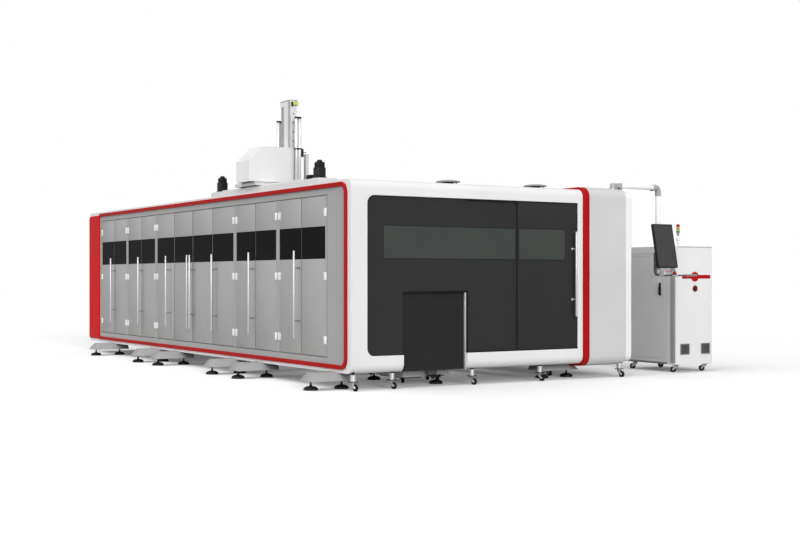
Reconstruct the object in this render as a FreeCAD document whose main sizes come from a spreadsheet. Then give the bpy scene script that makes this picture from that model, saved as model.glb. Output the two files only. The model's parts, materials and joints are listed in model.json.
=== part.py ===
"""Enclosed fiber laser cutting machine, in millimetres.

A long housing stands on casters round a bed on levelling feet. Twelve side door leaves, a sliding front
door and a lifting outlet door close it. A gantry crosses the roof opening and carries the cutting head on
a tall ram. An operator console hangs from a swing arm, beside a free-standing electrical cabinet.

Every piece is drawn from the housing's front left corner on the floor (x to the right along the front,
y towards the back, z up) and its placement then carries it to the centre of the floor space.
"""
import FreeCAD, Part
import os
import re
import Sketcher

DOC = FreeCAD.newDocument("LaserMachine")

# Driving sizes: name, millimetres (or degrees), meaning.
SIZE_ROWS = [
    ("housing_length", 8640, "housing, front to back"),
    ("body_width", 3150, "white housing body, left to right"),
    ("housing_bottom", 180, "underside of the housing above the floor"),
    ("housing_top", 2250, "roof of the housing above the floor"),
    ("shell_wall", 50, "double-skinned wall of the front and the roof"),
    ("side_wall", 60, "depth of the side, back and bottom frames"),
    ("fascia_depth", 120, "front to back depth of the front shell"),
    ("sill_depth", 110, "bottom frame's front rail, front to back"),
    ("front_round", 95, "rounding of the front shell's top and bottom edges"),
    ("band_width", 80, "red band between body and sleeve"),
    ("band_proud", 30, "how far band and sleeve stand out from the body"),
    ("band_wall", 70, "depth of the band's section"),
    ("sleeve_width", 570, "side compartment's sleeve, left to right"),
    ("sleeve_wall", 40, "wall of the sleeve and the end cap"),
    ("cap_width", 150, "end cap, left to right"),
    ("cap_round", 90, "rounding of the end cap's near edges"),
    ("cap_bevel", 40, "bevel of the end cap's outer face"),
    ("panel_left", 195, "dark front area, left edge"),
    ("panel_side", 77, "dark front area from the body's right side"),
    ("panel_bottom", 364, "dark front area, lower edge"),
    ("panel_top", 2081, "dark front area, upper edge"),
    ("panel_corner", 85, "rounding of the dark area's left corners"),
    ("panel_recess", 30, "fixed panel's face behind the housing's front"),
    ("panel_thick", 20, "fixed panel's thickness"),
    ("panel_lap", 40, "fixed panel's lap behind the sliding door"),
    ("window_bottom", 1408, "windows, lower edge"),
    ("window_top", 1765, "windows, upper edge"),
    ("pane_thick", 8, "window panes"),
    ("front_window_left", 409, "fixed front window, left edge"),
    ("window_seam", 11, "fixed front window from the sliding door"),
    ("slider_width", 883, "sliding door, left to right with its clearance"),
    ("slider_face", 4, "sliding door's face behind the housing's front"),
    ("slider_thick", 20, "sliding door's thickness"),
    ("slider_stile", 18, "sliding door's window from its left edge"),
    ("slider_grip_stile", 191, "sliding door's window from the dark area's right edge"),
    ("slide_clearance", 1, "running clearance of the sliding door"),
    ("track_height", 14, "height of the sliding door's guide channels"),
    ("track_web", 4, "web of the sliding door's guide channels"),
    ("track_length", 1583, "sliding door's guide channels, length"),
    ("pull_edge", 81, "front pull bar, centre from the dark area's right edge"),
    ("pull_radius", 13.5, "front pull bar, radius"),
    ("pull_standoff", 79, "front pull bar, centre in front of the door"),
    ("pull_bottom", 745, "front pull bar, lower end"),
    ("pull_top", 1739, "front pull bar, upper end"),
    ("pull_inset", 200, "pull bar's posts from the bar's ends"),
    ("post_radius", 9, "pull bars' posts, radius"),
    ("outlet_left", 652, "outlet, left edge"),
    ("outlet_right", 1486, "outlet, right edge"),
    ("outlet_top", 1047, "outlet, upper edge"),
    ("outlet_face", 60, "outlet door's face behind the housing's front"),
    ("outlet_thick", 18, "outlet door's thickness"),
    ("outlet_lap", 12, "outlet door's lap into its guides"),
    ("outlet_gap", 4, "clearance under and beside the outlet door"),
    ("guide_width", 30, "outlet guides, left to right"),
    ("guide_depth", 36, "outlet guides, front to back"),
    ("guide_top", 1950, "outlet guides, upper end"),
    ("trim_width", 48, "red trim round the left side"),
    ("trim_proud", 22, "red trim's height above the side"),
    ("trim_front", 85, "red trim's front edge from the housing's front"),
    ("trim_bottom", 218, "red trim, lower edge"),
    ("trim_top", 2224, "red trim, upper edge"),
    ("trim_round", 125, "red trim's outer front corners"),
    ("strip_length", 496, "red end strip, front to back"),
    ("strip_bottom", 222, "red end strip, lower edge"),
    ("strip_top", 2198, "red end strip, upper edge"),
    ("strip_round", 45, "red end strip's far corners"),
    ("strip_chamfer", 12, "bevel of the red end strip's face"),
    ("leaf_bottom", 339, "side door leaves, lower edge"),
    ("leaf_top", 2098, "side door leaves, upper edge"),
    ("leaf_start", 580, "first side doorway's near edge"),
    ("leaf_end", 600, "last side doorway's far edge from the housing's back"),
    ("fold_width", 658, "leaf of the folding set"),
    ("mullion_width", 87, "post between two side doorways"),
    ("leaf_thick", 35, "side door leaves"),
    ("leaf_gap", 2, "clearance at every edge of a side door leaf"),
    ("fold_gap", 4, "clearance at the folding set's middle, each side"),
    ("stop_lap", 18, "doorway stop behind a leaf's edge"),
    ("glass_rebate", 5, "depth of the window band in a leaf"),
    ("leaf_stile", 45, "leaf's frame beside the window opening"),
    ("hinge_first", 519, "lowest side hinge"),
    ("hinge_pitch", 700, "spacing of the side hinges up the post"),
    ("hinge_height", 95, "side hinges, height"),
    ("hinge_flap", 30, "side hinges, each flap's width"),
    ("hinge_thick", 4, "side hinges, flap thickness"),
    ("hinge_pin", 5, "side hinges, pin radius"),
    ("hinge_offset", 6, "hinge pin's centre outside the face"),
    ("grip_radius", 12.5, "side pull bars, radius"),
    ("grip_standoff", 90, "side pull bars, centre in front of the leaf"),
    ("grip_bottom", 518, "side pull bars, lower end"),
    ("grip_top", 1506, "side pull bars, upper end"),
    ("grip_inset", 195, "side pull bars' posts from the bar's ends"),
    ("grip_edge", 62, "side pull bar from the leaf's free edge"),
    ("fold_grip_edge", 140, "pull bar from the fold on the outer folding leaves"),
    ("foot_height", 95, "underside of the bed's legs above the floor"),
    ("foot_radius", 77, "levelling foot pads, radius"),
    ("foot_neck", 24, "levelling foot pads, radius at the top"),
    ("pad_height", 42, "levelling foot pads, height"),
    ("screw_radius", 11, "levelling screws, radius"),
    ("leg_first", 387, "first leg pair from the housing's front"),
    ("leg_spacing", 1854, "the two leg pairs of one bed segment"),
    ("bed_end", 516, "bed's back end from the housing's back, with one segment gap less"),
    ("segment_start", 240, "first bed segment's front end"),
    ("segment_gap", 30, "gap between bed segments"),
    ("leg_reach", 340, "legs' lower edge outside the housing's left side"),
    ("leg_inner", 190, "legs' inner edge from the housing's left side"),
    ("leg_top_reach", 60, "legs' upper edge outside the housing's left side"),
    ("leg_foot_half", 150, "half the legs' lower width"),
    ("leg_top_half", 92, "half the legs' upper width"),
    ("outer_foot", 280, "outer levelling feet outside the left side"),
    ("inner_foot", 95, "inner levelling feet from the left side"),
    ("bed_left", 130, "bed's left beam, outer face"),
    ("bed_side", 345, "bed's right beam from the body's right side"),
    ("beam_width", 300, "bed's side beams, width"),
    ("bed_top", 640, "bed's side beams, upper face"),
    ("cross_top", 400, "bed's cross beams, upper face"),
    ("cross_half", 80, "half the cross beams' width"),
    ("cross_offset", 190, "cross beams from their legs"),
    ("table_start", 300, "work table's front end"),
    ("table_back", 240, "work table's back end from the housing's back"),
    ("table_lap", 45, "work table's rest on the bed's side beams"),
    ("table_frame", 60, "work table's frame height"),
    ("table_rail", 80, "work table's frame width"),
    ("slat_height", 80, "work table's slats"),
    ("slat_thick", 6, "work table's slats"),
    ("slat_pitch", 350, "work table's slats"),
    ("bridge_near", 1620, "near rail bridge, front face"),
    ("bridge_far", 4460, "far rail bridge, front face"),
    ("bridge_depth", 200, "rail bridges, front to back"),
    ("bridge_bottom", 1950, "rail bridges, underside"),
    ("bridge_top", 2180, "rail bridges, upper face"),
    ("column_width", 200, "bridge columns, left to right"),
    ("column_inset", 50, "bridge columns from the bed beams' outer faces"),
    ("rail_width", 34, "long guide rails, width"),
    ("rail_height", 28, "long guide rails, height"),
    ("rack_width", 26, "gear racks, width"),
    ("rack_offset", 48, "gear racks from the guide rails"),
    ("rail_gap", 10, "long rails' left ends from the roof opening's edge"),
    ("roof_left", 270, "roof opening, left edge"),
    ("roof_side", 180, "roof opening from the body's right side"),
    ("roof_near", 1300, "roof opening, near edge"),
    ("roof_far", 5000, "roof opening, far edge"),
    ("gantry_left", 450, "gantry beam, left face"),
    ("gantry_width", 250, "gantry beam, left to right"),
    ("gantry_near", 1557, "gantry beam, near end"),
    ("gantry_far", 4743, "gantry beam, far end"),
    ("gantry_top", 2380, "gantry beam, upper face"),
    ("gantry_end_bottom", 2240, "underside of the gantry beam's ends"),
    ("gantry_bottom", 2080, "underside of the gantry beam's middle"),
    ("gantry_clearance", 20, "gantry beam's middle from the bridges"),
    ("block_length", 90, "bearing blocks, along the rail"),
    ("block_width", 84, "bearing blocks, across the rail"),
    ("block_clearance", 0.5, "bearing blocks' clearance round the rail"),
    ("cross_rail_width", 22, "gantry's own guide rails"),
    ("cross_rail_height", 16, "gantry's own guide rails"),
    ("cross_rail_start", 2050, "gantry's own guide rails, near end"),
    ("cross_rail_inset", 34, "gantry's own guide rails from its edges"),
    ("motor_side", 118, "drive motors, width"),
    ("motor_height", 226, "drive motors, height"),
    ("motor_cap", 34, "drive motors' rear caps, height"),
    ("motor_step", 14, "drive motors' caps, step in"),
    ("motor_near", 1720, "near drive motor, centre"),
    ("motor_far", 4560, "far drive motor, centre"),
    ("junction_offset", 185, "motor's junction box from the near motor"),
    ("junction_width", 60, "motor's junction box, width"),
    ("junction_length", 110, "motor's junction box, length"),
    ("junction_height", 66, "motor's junction box, height"),
    ("motor_x", 540, "drive motors, centre from the left"),
    ("saddle_left", 400, "carriage saddle, left edge"),
    ("saddle_near", 3215, "carriage saddle, near edge"),
    ("saddle_far", 3840, "carriage saddle, far edge"),
    ("saddle_right", 981, "carriage's right face"),
    ("saddle_clearance", 1, "carriage saddle above the gantry's rails"),
    ("hood_bottom", 2439, "underside of the hood"),
    ("hood_top", 2898, "top of the hood"),
    ("hood_left", 315, "hood, left face"),
    ("hood_gap", 3, "gap between hood and balance cylinders"),
    ("hood_near", 3195, "hood, near face"),
    ("hood_far", 3609, "hood, far face"),
    ("hood_slope", 185, "hood's slanted top left edge"),
    ("hood_round", 110, "hood's rounded near right corner"),
    ("hood_wall", 8, "hood's wall"),
    ("hood_notch", 10, "clearance between hood and ram"),
    ("slide_near", 3400, "carriage's upright slide, near face"),
    ("slide_far", 3670, "carriage's upright slide, far face"),
    ("slide_bottom", 2000, "carriage's upright slide, underside"),
    ("slide_offset", 12, "carriage's upright slide from the gantry beam"),
    ("shoe_inset", 30, "ram's guide shoes from the slide's edges"),
    ("shoe_width", 60, "ram's guide shoes, width"),
    ("shoe_gap", 2, "ram's guide shoes off the ram"),
    ("arm_near_far", 3370, "carriage's near arm, far face"),
    ("arm_far_near", 3700, "carriage's far arm, near face"),
    ("duct_left", 1180, "cable duct post, left face"),
    ("duct_width", 45, "cable duct post, width"),
    ("duct_near", 3300, "cable duct post, near face"),
    ("duct_depth", 60, "cable duct post, front to back"),
    ("duct_top", 2840, "cable duct post, top"),
    ("ram_left", 993, "ram, left face"),
    ("ram_width", 105, "ram, left to right"),
    ("ram_near", 3390, "ram, near face"),
    ("ram_depth", 290, "ram, front to back"),
    ("ram_bottom", 1900, "ram, lower end at its top position"),
    ("ram_top", 3546, "ram, upper end at its top position"),
    ("ram_channel", 70, "ram's side channel, width"),
    ("ram_channel_depth", 14, "ram's side channel, depth"),
    ("ram_rail_width", 56, "ram's rail strip, width"),
    ("ram_rail_thick", 12, "ram's rail strip, thickness"),
    ("ram_rail_inset", 6, "ram's rail strip from its left face"),
    ("bumper_height", 60, "ram's end stop, height"),
    ("bumper_width", 50, "ram's end stop, width"),
    ("bumper_depth", 30, "ram's end stop, depth"),
    ("ram_plate", 14, "ram's top plate"),
    ("cylinder_radius", 21, "balance cylinders, radius"),
    ("cylinder_block", 25, "balance cylinders' caps and clamps, half width"),
    ("cylinder_spacing", 50, "the two tubes of a balance cylinder"),
    ("cylinder_x", 1022, "balance cylinders, left tube's centre"),
    ("cylinder_near", 3270, "near balance cylinder, centre"),
    ("cylinder_far", 3800, "far balance cylinder, centre"),
    ("cylinder_top", 3320, "balance cylinders, top"),
    ("cylinder_cap", 22, "balance cylinders' end caps, height"),
    ("clamp_height", 2886, "near balance cylinder's clamp"),
    ("swivel_radius", 74, "head swivel, radius"),
    ("swivel_height", 120, "head swivel, height"),
    ("fork_thick", 26, "head swivel's side arm, thickness"),
    ("fork_length", 150, "head swivel's side arm, length"),
    ("tilt_drop", 220, "tilt axis below the ram's lower end"),
    ("head_width", 74, "cutting head, width"),
    ("head_rise", 66, "cutting head above its tilt axis"),
    ("head_drop", 130, "cutting head's body below its tilt axis"),
    ("nozzle_length", 110, "cutting head's nozzle, length"),
    ("nozzle_tip", 6, "cutting head's nozzle, tip radius"),
    ("head_clearance", 2, "cutting head from the swivel's side arm"),
    ("head_pin", 12, "cutting head's trunnion, radius"),
    ("head_pin_reach", 16, "cutting head's trunnion, length"),
    ("vent_near", 450, "roof vents from the housing's front"),
    ("vent_left", 1528, "left roof vent from the left side"),
    ("vent_side", 363, "right roof vent from the body's right side"),
    ("vent_neck", 62, "roof vents, neck radius"),
    ("vent_radius", 140, "roof vents, cap radius"),
    ("vent_height", 68, "roof vents, height"),
    ("vent_cap", 26, "roof vents, cap thickness"),
    ("wheel_radius", 37, "caster wheels, radius"),
    ("wheel_width", 26, "caster wheels, width"),
    ("fork_width", 38, "caster forks, width"),
    ("caster_trail", 24, "caster wheels behind their stems"),
    ("caster_plate", 8, "caster forks' crown, thickness"),
    ("stem_radius", 15, "caster stems, radius"),
    ("corner_caster", 45, "corner caster from the housing's left side and front"),
    ("front_caster_y", 75, "front casters behind the housing's front"),
    ("outlet_caster", 110, "front casters beside the outlet"),
    ("caster_side", 590, "right front caster from the body's right side"),
    ("wall_caster_y", 640, "right wall's caster behind the housing's front"),
    ("sleeve_caster_inset", 55, "sleeve's casters from its right edge"),
    ("sleeve_caster_y", 30, "sleeve's front caster behind the housing's front"),
    ("back_caster", 100, "sleeve's back caster from the housing's back"),
    ("console_inset", 110, "console arm's pivot from the sleeve's right edge"),
    ("console_y", 80, "console arm's pivot from the housing's front"),
    ("pivot_radius", 44, "console arm's hub, radius"),
    ("pivot_pin", 16, "console arm's pin, radius"),
    ("pivot_fit", 0.05, "radial clearance of the console's pins"),
    ("pivot_height", 56, "console arm's hub, height"),
    ("pivot_plate", 8, "console bracket's base plate"),
    ("pivot_gap", 1, "gap under a turning hub"),
    ("arm_radius", 27, "console arm tube, radius"),
    ("arm_reach", 735, "console arm, pivot to drop tube"),
    ("elbow_radius", 38, "console elbow, radius"),
    ("elbow_drop", 70, "console elbow below the arm's centre"),
    ("spigot_radius", 20, "drop tube's spigot in the elbow, radius"),
    ("spigot_length", 60, "drop tube's spigot in the elbow, length"),
    ("drop_bottom", 1220, "console drop tube, lower end"),
    ("console_width", 325, "console and monitor, width"),
    ("console_shift", 13, "console's centre to the right of the drop tube"),
    ("console_face", 130, "console box's face in front of the housing"),
    ("console_bottom", 1216, "console box, underside"),
    ("console_height", 68, "console box, height"),
    ("tilt_height", 1600, "monitor's tilt axis above the floor"),
    ("tilt_y", 22, "monitor's tilt axis behind the housing's front"),
    ("tilt_pin", 6, "monitor's tilt pin, radius"),
    ("tilt_block", 30, "monitor's tilt block, width"),
    ("tilt_ear", 10, "monitor's tilt ears, thickness"),
    ("monitor_tilt", 11.3, "monitor's lean, degrees"),
    ("monitor_thick", 34, "monitor's thickness"),
    ("monitor_face", 58, "monitor's face in front of its tilt axis"),
    ("monitor_below", 291, "monitor below its tilt axis"),
    ("monitor_above", 259, "monitor above its tilt axis"),
    ("bezel", 12, "monitor's frame round the screen"),
    ("screen_recess", 2, "screen behind the monitor's frame"),
    ("tray_depth", 274, "keyboard tray, front to back"),
    ("tray_thick", 14, "keyboard tray, thickness"),
    ("tray_lip", 10, "keyboard tray's front lip"),
    ("tray_lug", 24, "keyboard tray's hinge lugs, width"),
    ("tray_pin", 3, "keyboard tray's hinge pins, radius"),
    ("tray_gap", 10, "gap between console box and tray"),
    ("tray_rise", 4, "tray's underside above the console box's"),
    ("stop_radius", 21, "emergency stop, radius"),
    ("stop_shift", 60, "emergency stop right of the console's centre"),
    ("stop_lift", 3, "emergency stop's cap above the tray"),
    ("stop_height", 24, "emergency stop, height"),
    ("stop_travel", 5, "emergency stop, travel"),
    ("stop_stem", 10, "emergency stop's stem, radius"),
    ("stop_fit", 0.5, "clearance round the emergency stop's stem"),
    ("cabinet_gap", 820, "gap between end cap and cabinet"),
    ("cabinet_width", 660, "cabinet, left to right"),
    ("cabinet_front_y", 120, "cabinet's face behind the housing's front"),
    ("cabinet_depth", 990, "cabinet, front to back"),
    ("cabinet_bottom", 100, "cabinet, underside"),
    ("cabinet_top", 1600, "cabinet, top"),
    ("cover_depth", 150, "cabinet's front cover, depth"),
    ("cover_round", 60, "cabinet's front cover, rounded edges"),
    ("cabinet_wall", 25, "cabinet's walls"),
    ("cabinet_caster", 80, "cabinet's casters from its faces"),
    ("hatch_near", 360, "cabinet door, near edge"),
    ("hatch_far", 1080, "cabinet door, far edge"),
    ("hatch_bottom", 170, "cabinet door, lower edge"),
    ("hatch_top", 1480, "cabinet door, upper edge"),
    ("hatch_thick", 20, "cabinet door, thickness"),
    ("hatch_gap", 3, "clearance round the cabinet door"),
    ("hatch_round", 70, "cabinet door's near corners"),
    ("hatch_hinge", 120, "cabinet door's hinges from its ends"),
    ("source_inset", 150, "laser source from the cabinet's faces"),
    ("source_top", 900, "laser source, top"),
    ("latch_y", 405, "cabinet door's latch from the housing's front"),
    ("latch_top", 1130, "cabinet door's latch, upper end"),
    ("latch_length", 151, "cabinet door's latch, length"),
    ("latch_width", 26, "cabinet door's latch, width"),
    ("latch_thick", 16, "cabinet door's latch, thickness"),
    ("latch_boss", 4, "cabinet door's latch off the door"),
    ("marker_start", 105, "cabinet's red strip from the cabinet's left face"),
    ("marker_end", 34, "cabinet's red strip's run from the cabinet's right face"),
    ("band_bottom", 1190, "cabinet's red strip, lower edge"),
    ("band_top", 1237, "cabinet's red strip, upper edge"),
    ("band_thick", 6, "cabinet's red strip, thickness"),
    ("disc_offset", 325, "cabinet's red disc from the cabinet's left face"),
    ("disc_radius", 43, "cabinet's red disc, radius"),
    ("switch_offset", 328, "main switch from the cabinet's left face"),
    ("switch_z", 1063, "main switch, centre above the floor"),
    ("switch_radius", 30, "main switch, radius"),
    ("switch_height", 34, "main switch, height"),
    ("switch_plate", 6, "main switch's base, thickness"),
    ("grille_edge", 73, "cabinet grilles from the cabinet's sides"),
    ("grille_width", 155, "cabinet grilles, width"),
    ("grille_bottom", 226, "cabinet grilles, lower edge"),
    ("grille_height", 139, "cabinet grilles, height"),
    ("grille_thick", 12, "cabinet grilles, depth"),
    ("grille_frame", 12, "cabinet grilles, frame width"),
    ("louvre_count", 5, "cabinet grilles, louvres"),
    ("louvre_height", 8, "cabinet grilles, louvre height"),
    ("tower_offset", 270, "signal tower from the cabinet's left face"),
    ("tower_y", 360, "signal tower behind the housing's front"),
    ("tower_pole", 9, "signal tower's pole, radius"),
    ("tower_radius", 22, "signal tower's lenses, radius"),
    ("tower_lens", 38, "signal tower's lenses, height"),
    ("tower_height", 290, "signal tower, height"),
]

# Sizes and places that follow from the others: name, formula, meaning. The side has four posts between
# its doorways, eight leaves in pairs and a folding set of four; the bed has three segments.
TIED_ROWS = [
    ("panel_right", "body_width - panel_side", "dark front area, right edge"),
    ("slider_left", "panel_right - slider_width", "sliding door, left edge"),
    ("slider_window_left", "slider_left + slider_stile", "sliding door's window, left edge"),
    ("slider_window_right", "panel_right - slider_grip_stile", "sliding door's window, right edge"),
    ("front_window_right", "slider_left - window_seam", "fixed front window, right edge"),
    ("track_left", "panel_right - track_length", "sliding door's guide channels, left end"),
    ("pull_x", "panel_right - pull_edge", "front pull bar, centre"),
    ("strip_start", "housing_length - strip_length", "red end strip, near edge"),
    ("leaf_width", "(housing_length - leaf_start - leaf_end - 4 * mullion_width - 4 * fold_width) / 8",
     "leaf of a pair"),
    ("segment_pitch", "(housing_length - segment_start - bed_end) / 3", "bed segments"),
    ("bed_right", "body_width - bed_side", "bed's right beam, outer face"),
    ("table_end", "housing_length - table_back", "work table's back end"),
    ("roof_right", "body_width - roof_side", "roof opening, right edge"),
    ("rail_start", "roof_left + rail_gap", "long rails, left ends"),
    ("hood_right", "cylinder_x - cylinder_block - hood_gap", "hood, right face"),
    ("vent_right", "body_width - vent_side", "right roof vent, centre"),
    ("right_caster", "body_width - caster_side", "right front caster, centre"),
    ("sleeve_right", "body_width + band_width + sleeve_width", "sleeve, right edge"),
    ("console_pivot_x", "sleeve_right - console_inset", "console arm's pivot"),
    ("cabinet_left", "sleeve_right + cap_width + cabinet_gap", "cabinet, left face"),
    ("band_left", "cabinet_left + marker_start", "cabinet's red strip, left end"),
    ("band_right", "cabinet_left + cabinet_width - marker_end", "cabinet's red strip's run, right end"),
    ("disc_x", "cabinet_left + disc_offset", "cabinet's red disc, centre"),
    ("switch_x", "cabinet_left + switch_offset", "main switch, centre"),
    ("grille_left", "cabinet_left + grille_edge", "left cabinet grille, left edge"),
    ("grille_right", "cabinet_left + cabinet_width - grille_edge - grille_width",
     "right cabinet grille, left edge"),
    ("tower_x", "cabinet_left + tower_offset", "signal tower, centre"),
]

sheet = DOC.addObject("Spreadsheet::Sheet", "Sizes")
rows = [(name, str(number), meaning) for name, number, meaning in SIZE_ROWS]
rows += [(name, "=" + formula, meaning) for name, formula, meaning in TIED_ROWS]
for row, (name, content, meaning) in enumerate(rows, start=1):
    sheet.set(f"A{row}", name)
    sheet.set(f"B{row}", content)
    sheet.set(f"C{row}", meaning)
    sheet.setAlias(f"B{row}", name)
DOC.recompute()
VALUES = {name: sheet.get(name) for name, content, meaning in rows}

# Half of the overall width and depth, from the outermost pieces on each side.
CENTRE_X = "(cabinet_left + cabinet_width - outer_foot - foot_radius) / 2"
CENTRE_Y = "(housing_length - console_face - tray_gap - tray_depth) / 2"
ORIGIN = ("-" + CENTRE_X, "-" + CENTRE_Y, "0")
WORD = re.compile(r"[a-z][a-z_]*")
FLATS = 12
GRIP_FLATS = 8
PIN_FLATS = 4
UPRIGHT = FreeCAD.Rotation(FreeCAD.Vector(1, 0, 0), 90)
AXES = {
    "x": FreeCAD.Rotation(FreeCAD.Vector(0, 1, 0), 90),
    "y": FreeCAD.Rotation(FreeCAD.Vector(1, 0, 0), -90),
    "z": FreeCAD.Rotation(),
}
CLOSE = 0.01
PIECES = {}
CORNERS = {}
OUTLINES = {}


def term(text):
    """A size expression in which every size name points at the sheet."""
    return WORD.sub(lambda word: "Sizes." + word[0] if word[0] in VALUES else word[0], str(text))


def bind(item, **links):
    """Ties properties of an object to size expressions."""
    for name, text in links.items():
        item.setExpression(name, term(text))


def place(item, corner):
    """Ties an object's place to three size expressions."""
    CORNERS[item.Name] = corner
    for axis, text in zip("xyz", corner):
        item.setExpression("Placement.Base." + axis, term(text))


def block(name, corner, sides):
    """A block from its lowest corner and its three sides."""
    item = DOC.addObject("Part::Box", name)
    bind(item, Length=sides[0], Width=sides[1], Height=sides[2])
    place(item, corner)
    return item


def span(name, start, stop):
    """A block from its lowest to its highest corner."""
    sides = [f"({high}) - ({low})" for low, high in zip(start, stop)]
    return block(name, start, sides)


def rod(name, centre, radius, length, axis="z"):
    """A round bar from the centre of its first end, along an axis."""
    item = DOC.addObject("Part::Cylinder", name)
    item.Placement = FreeCAD.Placement(FreeCAD.Vector(), AXES[axis])
    bind(item, Radius=radius, Height=length)
    place(item, centre)
    return item


def bar(name, centre, radius, length, axis="z", sides=6):
    """A bar of six or more flats from the centre of its first end, along an axis."""
    item = DOC.addObject("Part::Prism", name)
    item.Polygon = sides
    item.Placement = FreeCAD.Placement(FreeCAD.Vector(), AXES[axis])
    bind(item, Circumradius=radius, Height=length)
    place(item, centre)
    return item


def bell(name, centre, radius, end_radius, length):
    """An upright eight-sided taper, as the overlap of two square tapers an eighth of a turn apart."""
    tapers = []
    for number, angle in enumerate((0, 45)):
        item = DOC.addObject("Part::Wedge", f"{name}_taper_{number}")
        upright = FreeCAD.Rotation(FreeCAD.Vector(0, 0, 1), angle).multiply(UPRIGHT)
        item.Placement = FreeCAD.Placement(FreeCAD.Vector(), upright)
        bind(item, Ymin="0", Ymax=length, Xmin=f"-({radius})", Xmax=radius, Zmin=f"-({radius})", Zmax=radius,
             X2min=f"-({end_radius})", X2max=end_radius, Z2min=f"-({end_radius})", Z2max=end_radius)
        place(item, centre)
        tapers.append(item)
    item = DOC.addObject("Part::MultiCommon", name)
    item.Shapes = tapers
    return item


def fuse(name, items):
    """Several solids welded into one."""
    item = DOC.addObject("Part::MultiFuse", name)
    item.Shapes = items
    return item


def group(name, items):
    """Separate solids that share one node."""
    item = DOC.addObject("Part::Compound", name)
    item.Links = items
    return item


def cut(name, base, tools):
    """A solid less one or more tools."""
    item = DOC.addObject("Part::Cut", name)
    item.Base = base
    item.Tool = tools[0] if len(tools) == 1 else group(name + "_tools", tools)
    return item


def rounded(name, base, radius, wanted):
    """A solid with the edges that pass a test of direction and middle rounded."""
    DOC.recompute()
    item = DOC.addObject("Part::Fillet", name)
    item.Base = base
    box = base.Shape.BoundBox
    picks = []
    for number, edge in enumerate(base.Shape.Edges, start=1):
        ends = edge.Vertexes[-1].Point - edge.Vertexes[0].Point
        if ends.Length and wanted(ends.normalize(), edge.CenterOfMass, box):
            picks.append((number, radius, radius))
    item.Edges = picks
    return item


def along(axis, *sides):
    """A test for edges along an axis that lie on the named sides of the solid's box."""
    limits = {"left": ("x", "XMin"), "right": ("x", "XMax"), "near": ("y", "YMin"),
              "far": ("y", "YMax"), "low": ("z", "ZMin"), "high": ("z", "ZMax")}
    def wanted(direction, middle, box):
        if abs(abs(getattr(direction, axis)) - 1) > CLOSE:
            return False
        for side in sides:
            way, limit = limits[side]
            if abs(getattr(middle, way) - getattr(box, limit)) > CLOSE:
                return False
        return True

    return wanted


def rounded_corners(name, base, radius, axis, corners):
    """A solid with the edges along an axis rounded at the named pairs of sides."""
    tests = [along(axis, *pair) for pair in corners]
    return rounded(name, base, radius, lambda *edge: any(test(*edge) for test in tests))


def outline_body(name, plane, points, length):
    """A body padded from a closed outline whose corners are pairs of size expressions."""
    body = DOC.addObject("PartDesign::Body", name)
    sketch = body.newObject("Sketcher::SketchObject", name + "_sketch")
    base = [part for part in body.Origin.OriginFeatures if part.Role == plane][0]
    sketch.AttachmentSupport = [(base, "")]
    sketch.MapMode = "FlatFace"
    count = len(points)
    for index in range(count):
        start = FreeCAD.Vector(index, index * index, 0)
        stop = FreeCAD.Vector((index + 1) % count, ((index + 1) % count) ** 2, 0)
        sketch.addGeometry(Part.LineSegment(start, stop), False)
    for index in range(count):
        sketch.addConstraint(Sketcher.Constraint("Coincident", index, 2, (index + 1) % count, 1))
    for index, point in enumerate(points):
        for kind, text in zip(("DistanceX", "DistanceY"), point):
            place_of = sketch.addConstraint(Sketcher.Constraint(kind, -1, 1, index, 1, 1.0))
            sketch.setExpression(f"Constraints[{place_of}]", term(text))
    pad = body.newObject("PartDesign::Pad", name + "_pad")
    pad.Profile = sketch
    bind(pad, Length=length)
    body.Tip = pad
    return body


def piece(name, item, turn=None):
    """Names a finished sub-part and carries it to the machine's own origin."""
    corner = CORNERS.get(item.Name, ("0", "0", "0"))
    if turn:
        item.Placement = FreeCAD.Placement(FreeCAD.Vector(), turn)
    place(item, [f"{text} + ({extra})" for text, extra in zip(ORIGIN, corner)])
    item.Label = name
    PIECES[name] = item
    return item


# Housing ---------------------------------------------------------------------------------------------
outer = span("fascia_outer", ("0", "0", "housing_bottom"), ("body_width", "fascia_depth", "housing_top"))
outer = rounded_corners("fascia_edges", outer, VALUES["front_round"], "x", [("near", "low"), ("near", "high")])
OUTLINES["fascia"] = outer
hollow = span("fascia_hollow", ("side_wall", "shell_wall", "housing_bottom + shell_wall"),
              ("body_width - side_wall", "fascia_depth + 1", "housing_top - shell_wall"))
opening = span("fascia_opening", ("panel_left", "-1", "panel_bottom"),
               ("panel_right", "shell_wall + 1", "panel_top"))
opening = rounded_corners("fascia_corners", opening, VALUES["panel_corner"], "y", [("left", "low"), ("left", "high")])
notch = span("fascia_notch", ("outlet_left", "-1", "housing_bottom - 1"),
             ("outlet_right", "fascia_depth + 1", "panel_bottom + 1"))
slot = span("fascia_slot", ("outlet_left - guide_width", "shell_wall", "housing_bottom - 1"),
            ("outlet_right + guide_width", "fascia_depth + 1", "housing_bottom + shell_wall + 1"))
piece("front_fascia", cut("fascia", outer, [hollow, opening, notch, slot]))

roof = span("roof_sheet", ("0", "fascia_depth", "housing_top - shell_wall"),
            ("body_width", "housing_length", "housing_top"))
roof_hole = span("roof_hole", ("roof_left", "roof_near", "housing_top - shell_wall - 1"),
                 ("roof_right", "roof_far", "housing_top + 1"))
piece("roof_panel", cut("roof", roof, [roof_hole]))

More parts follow.
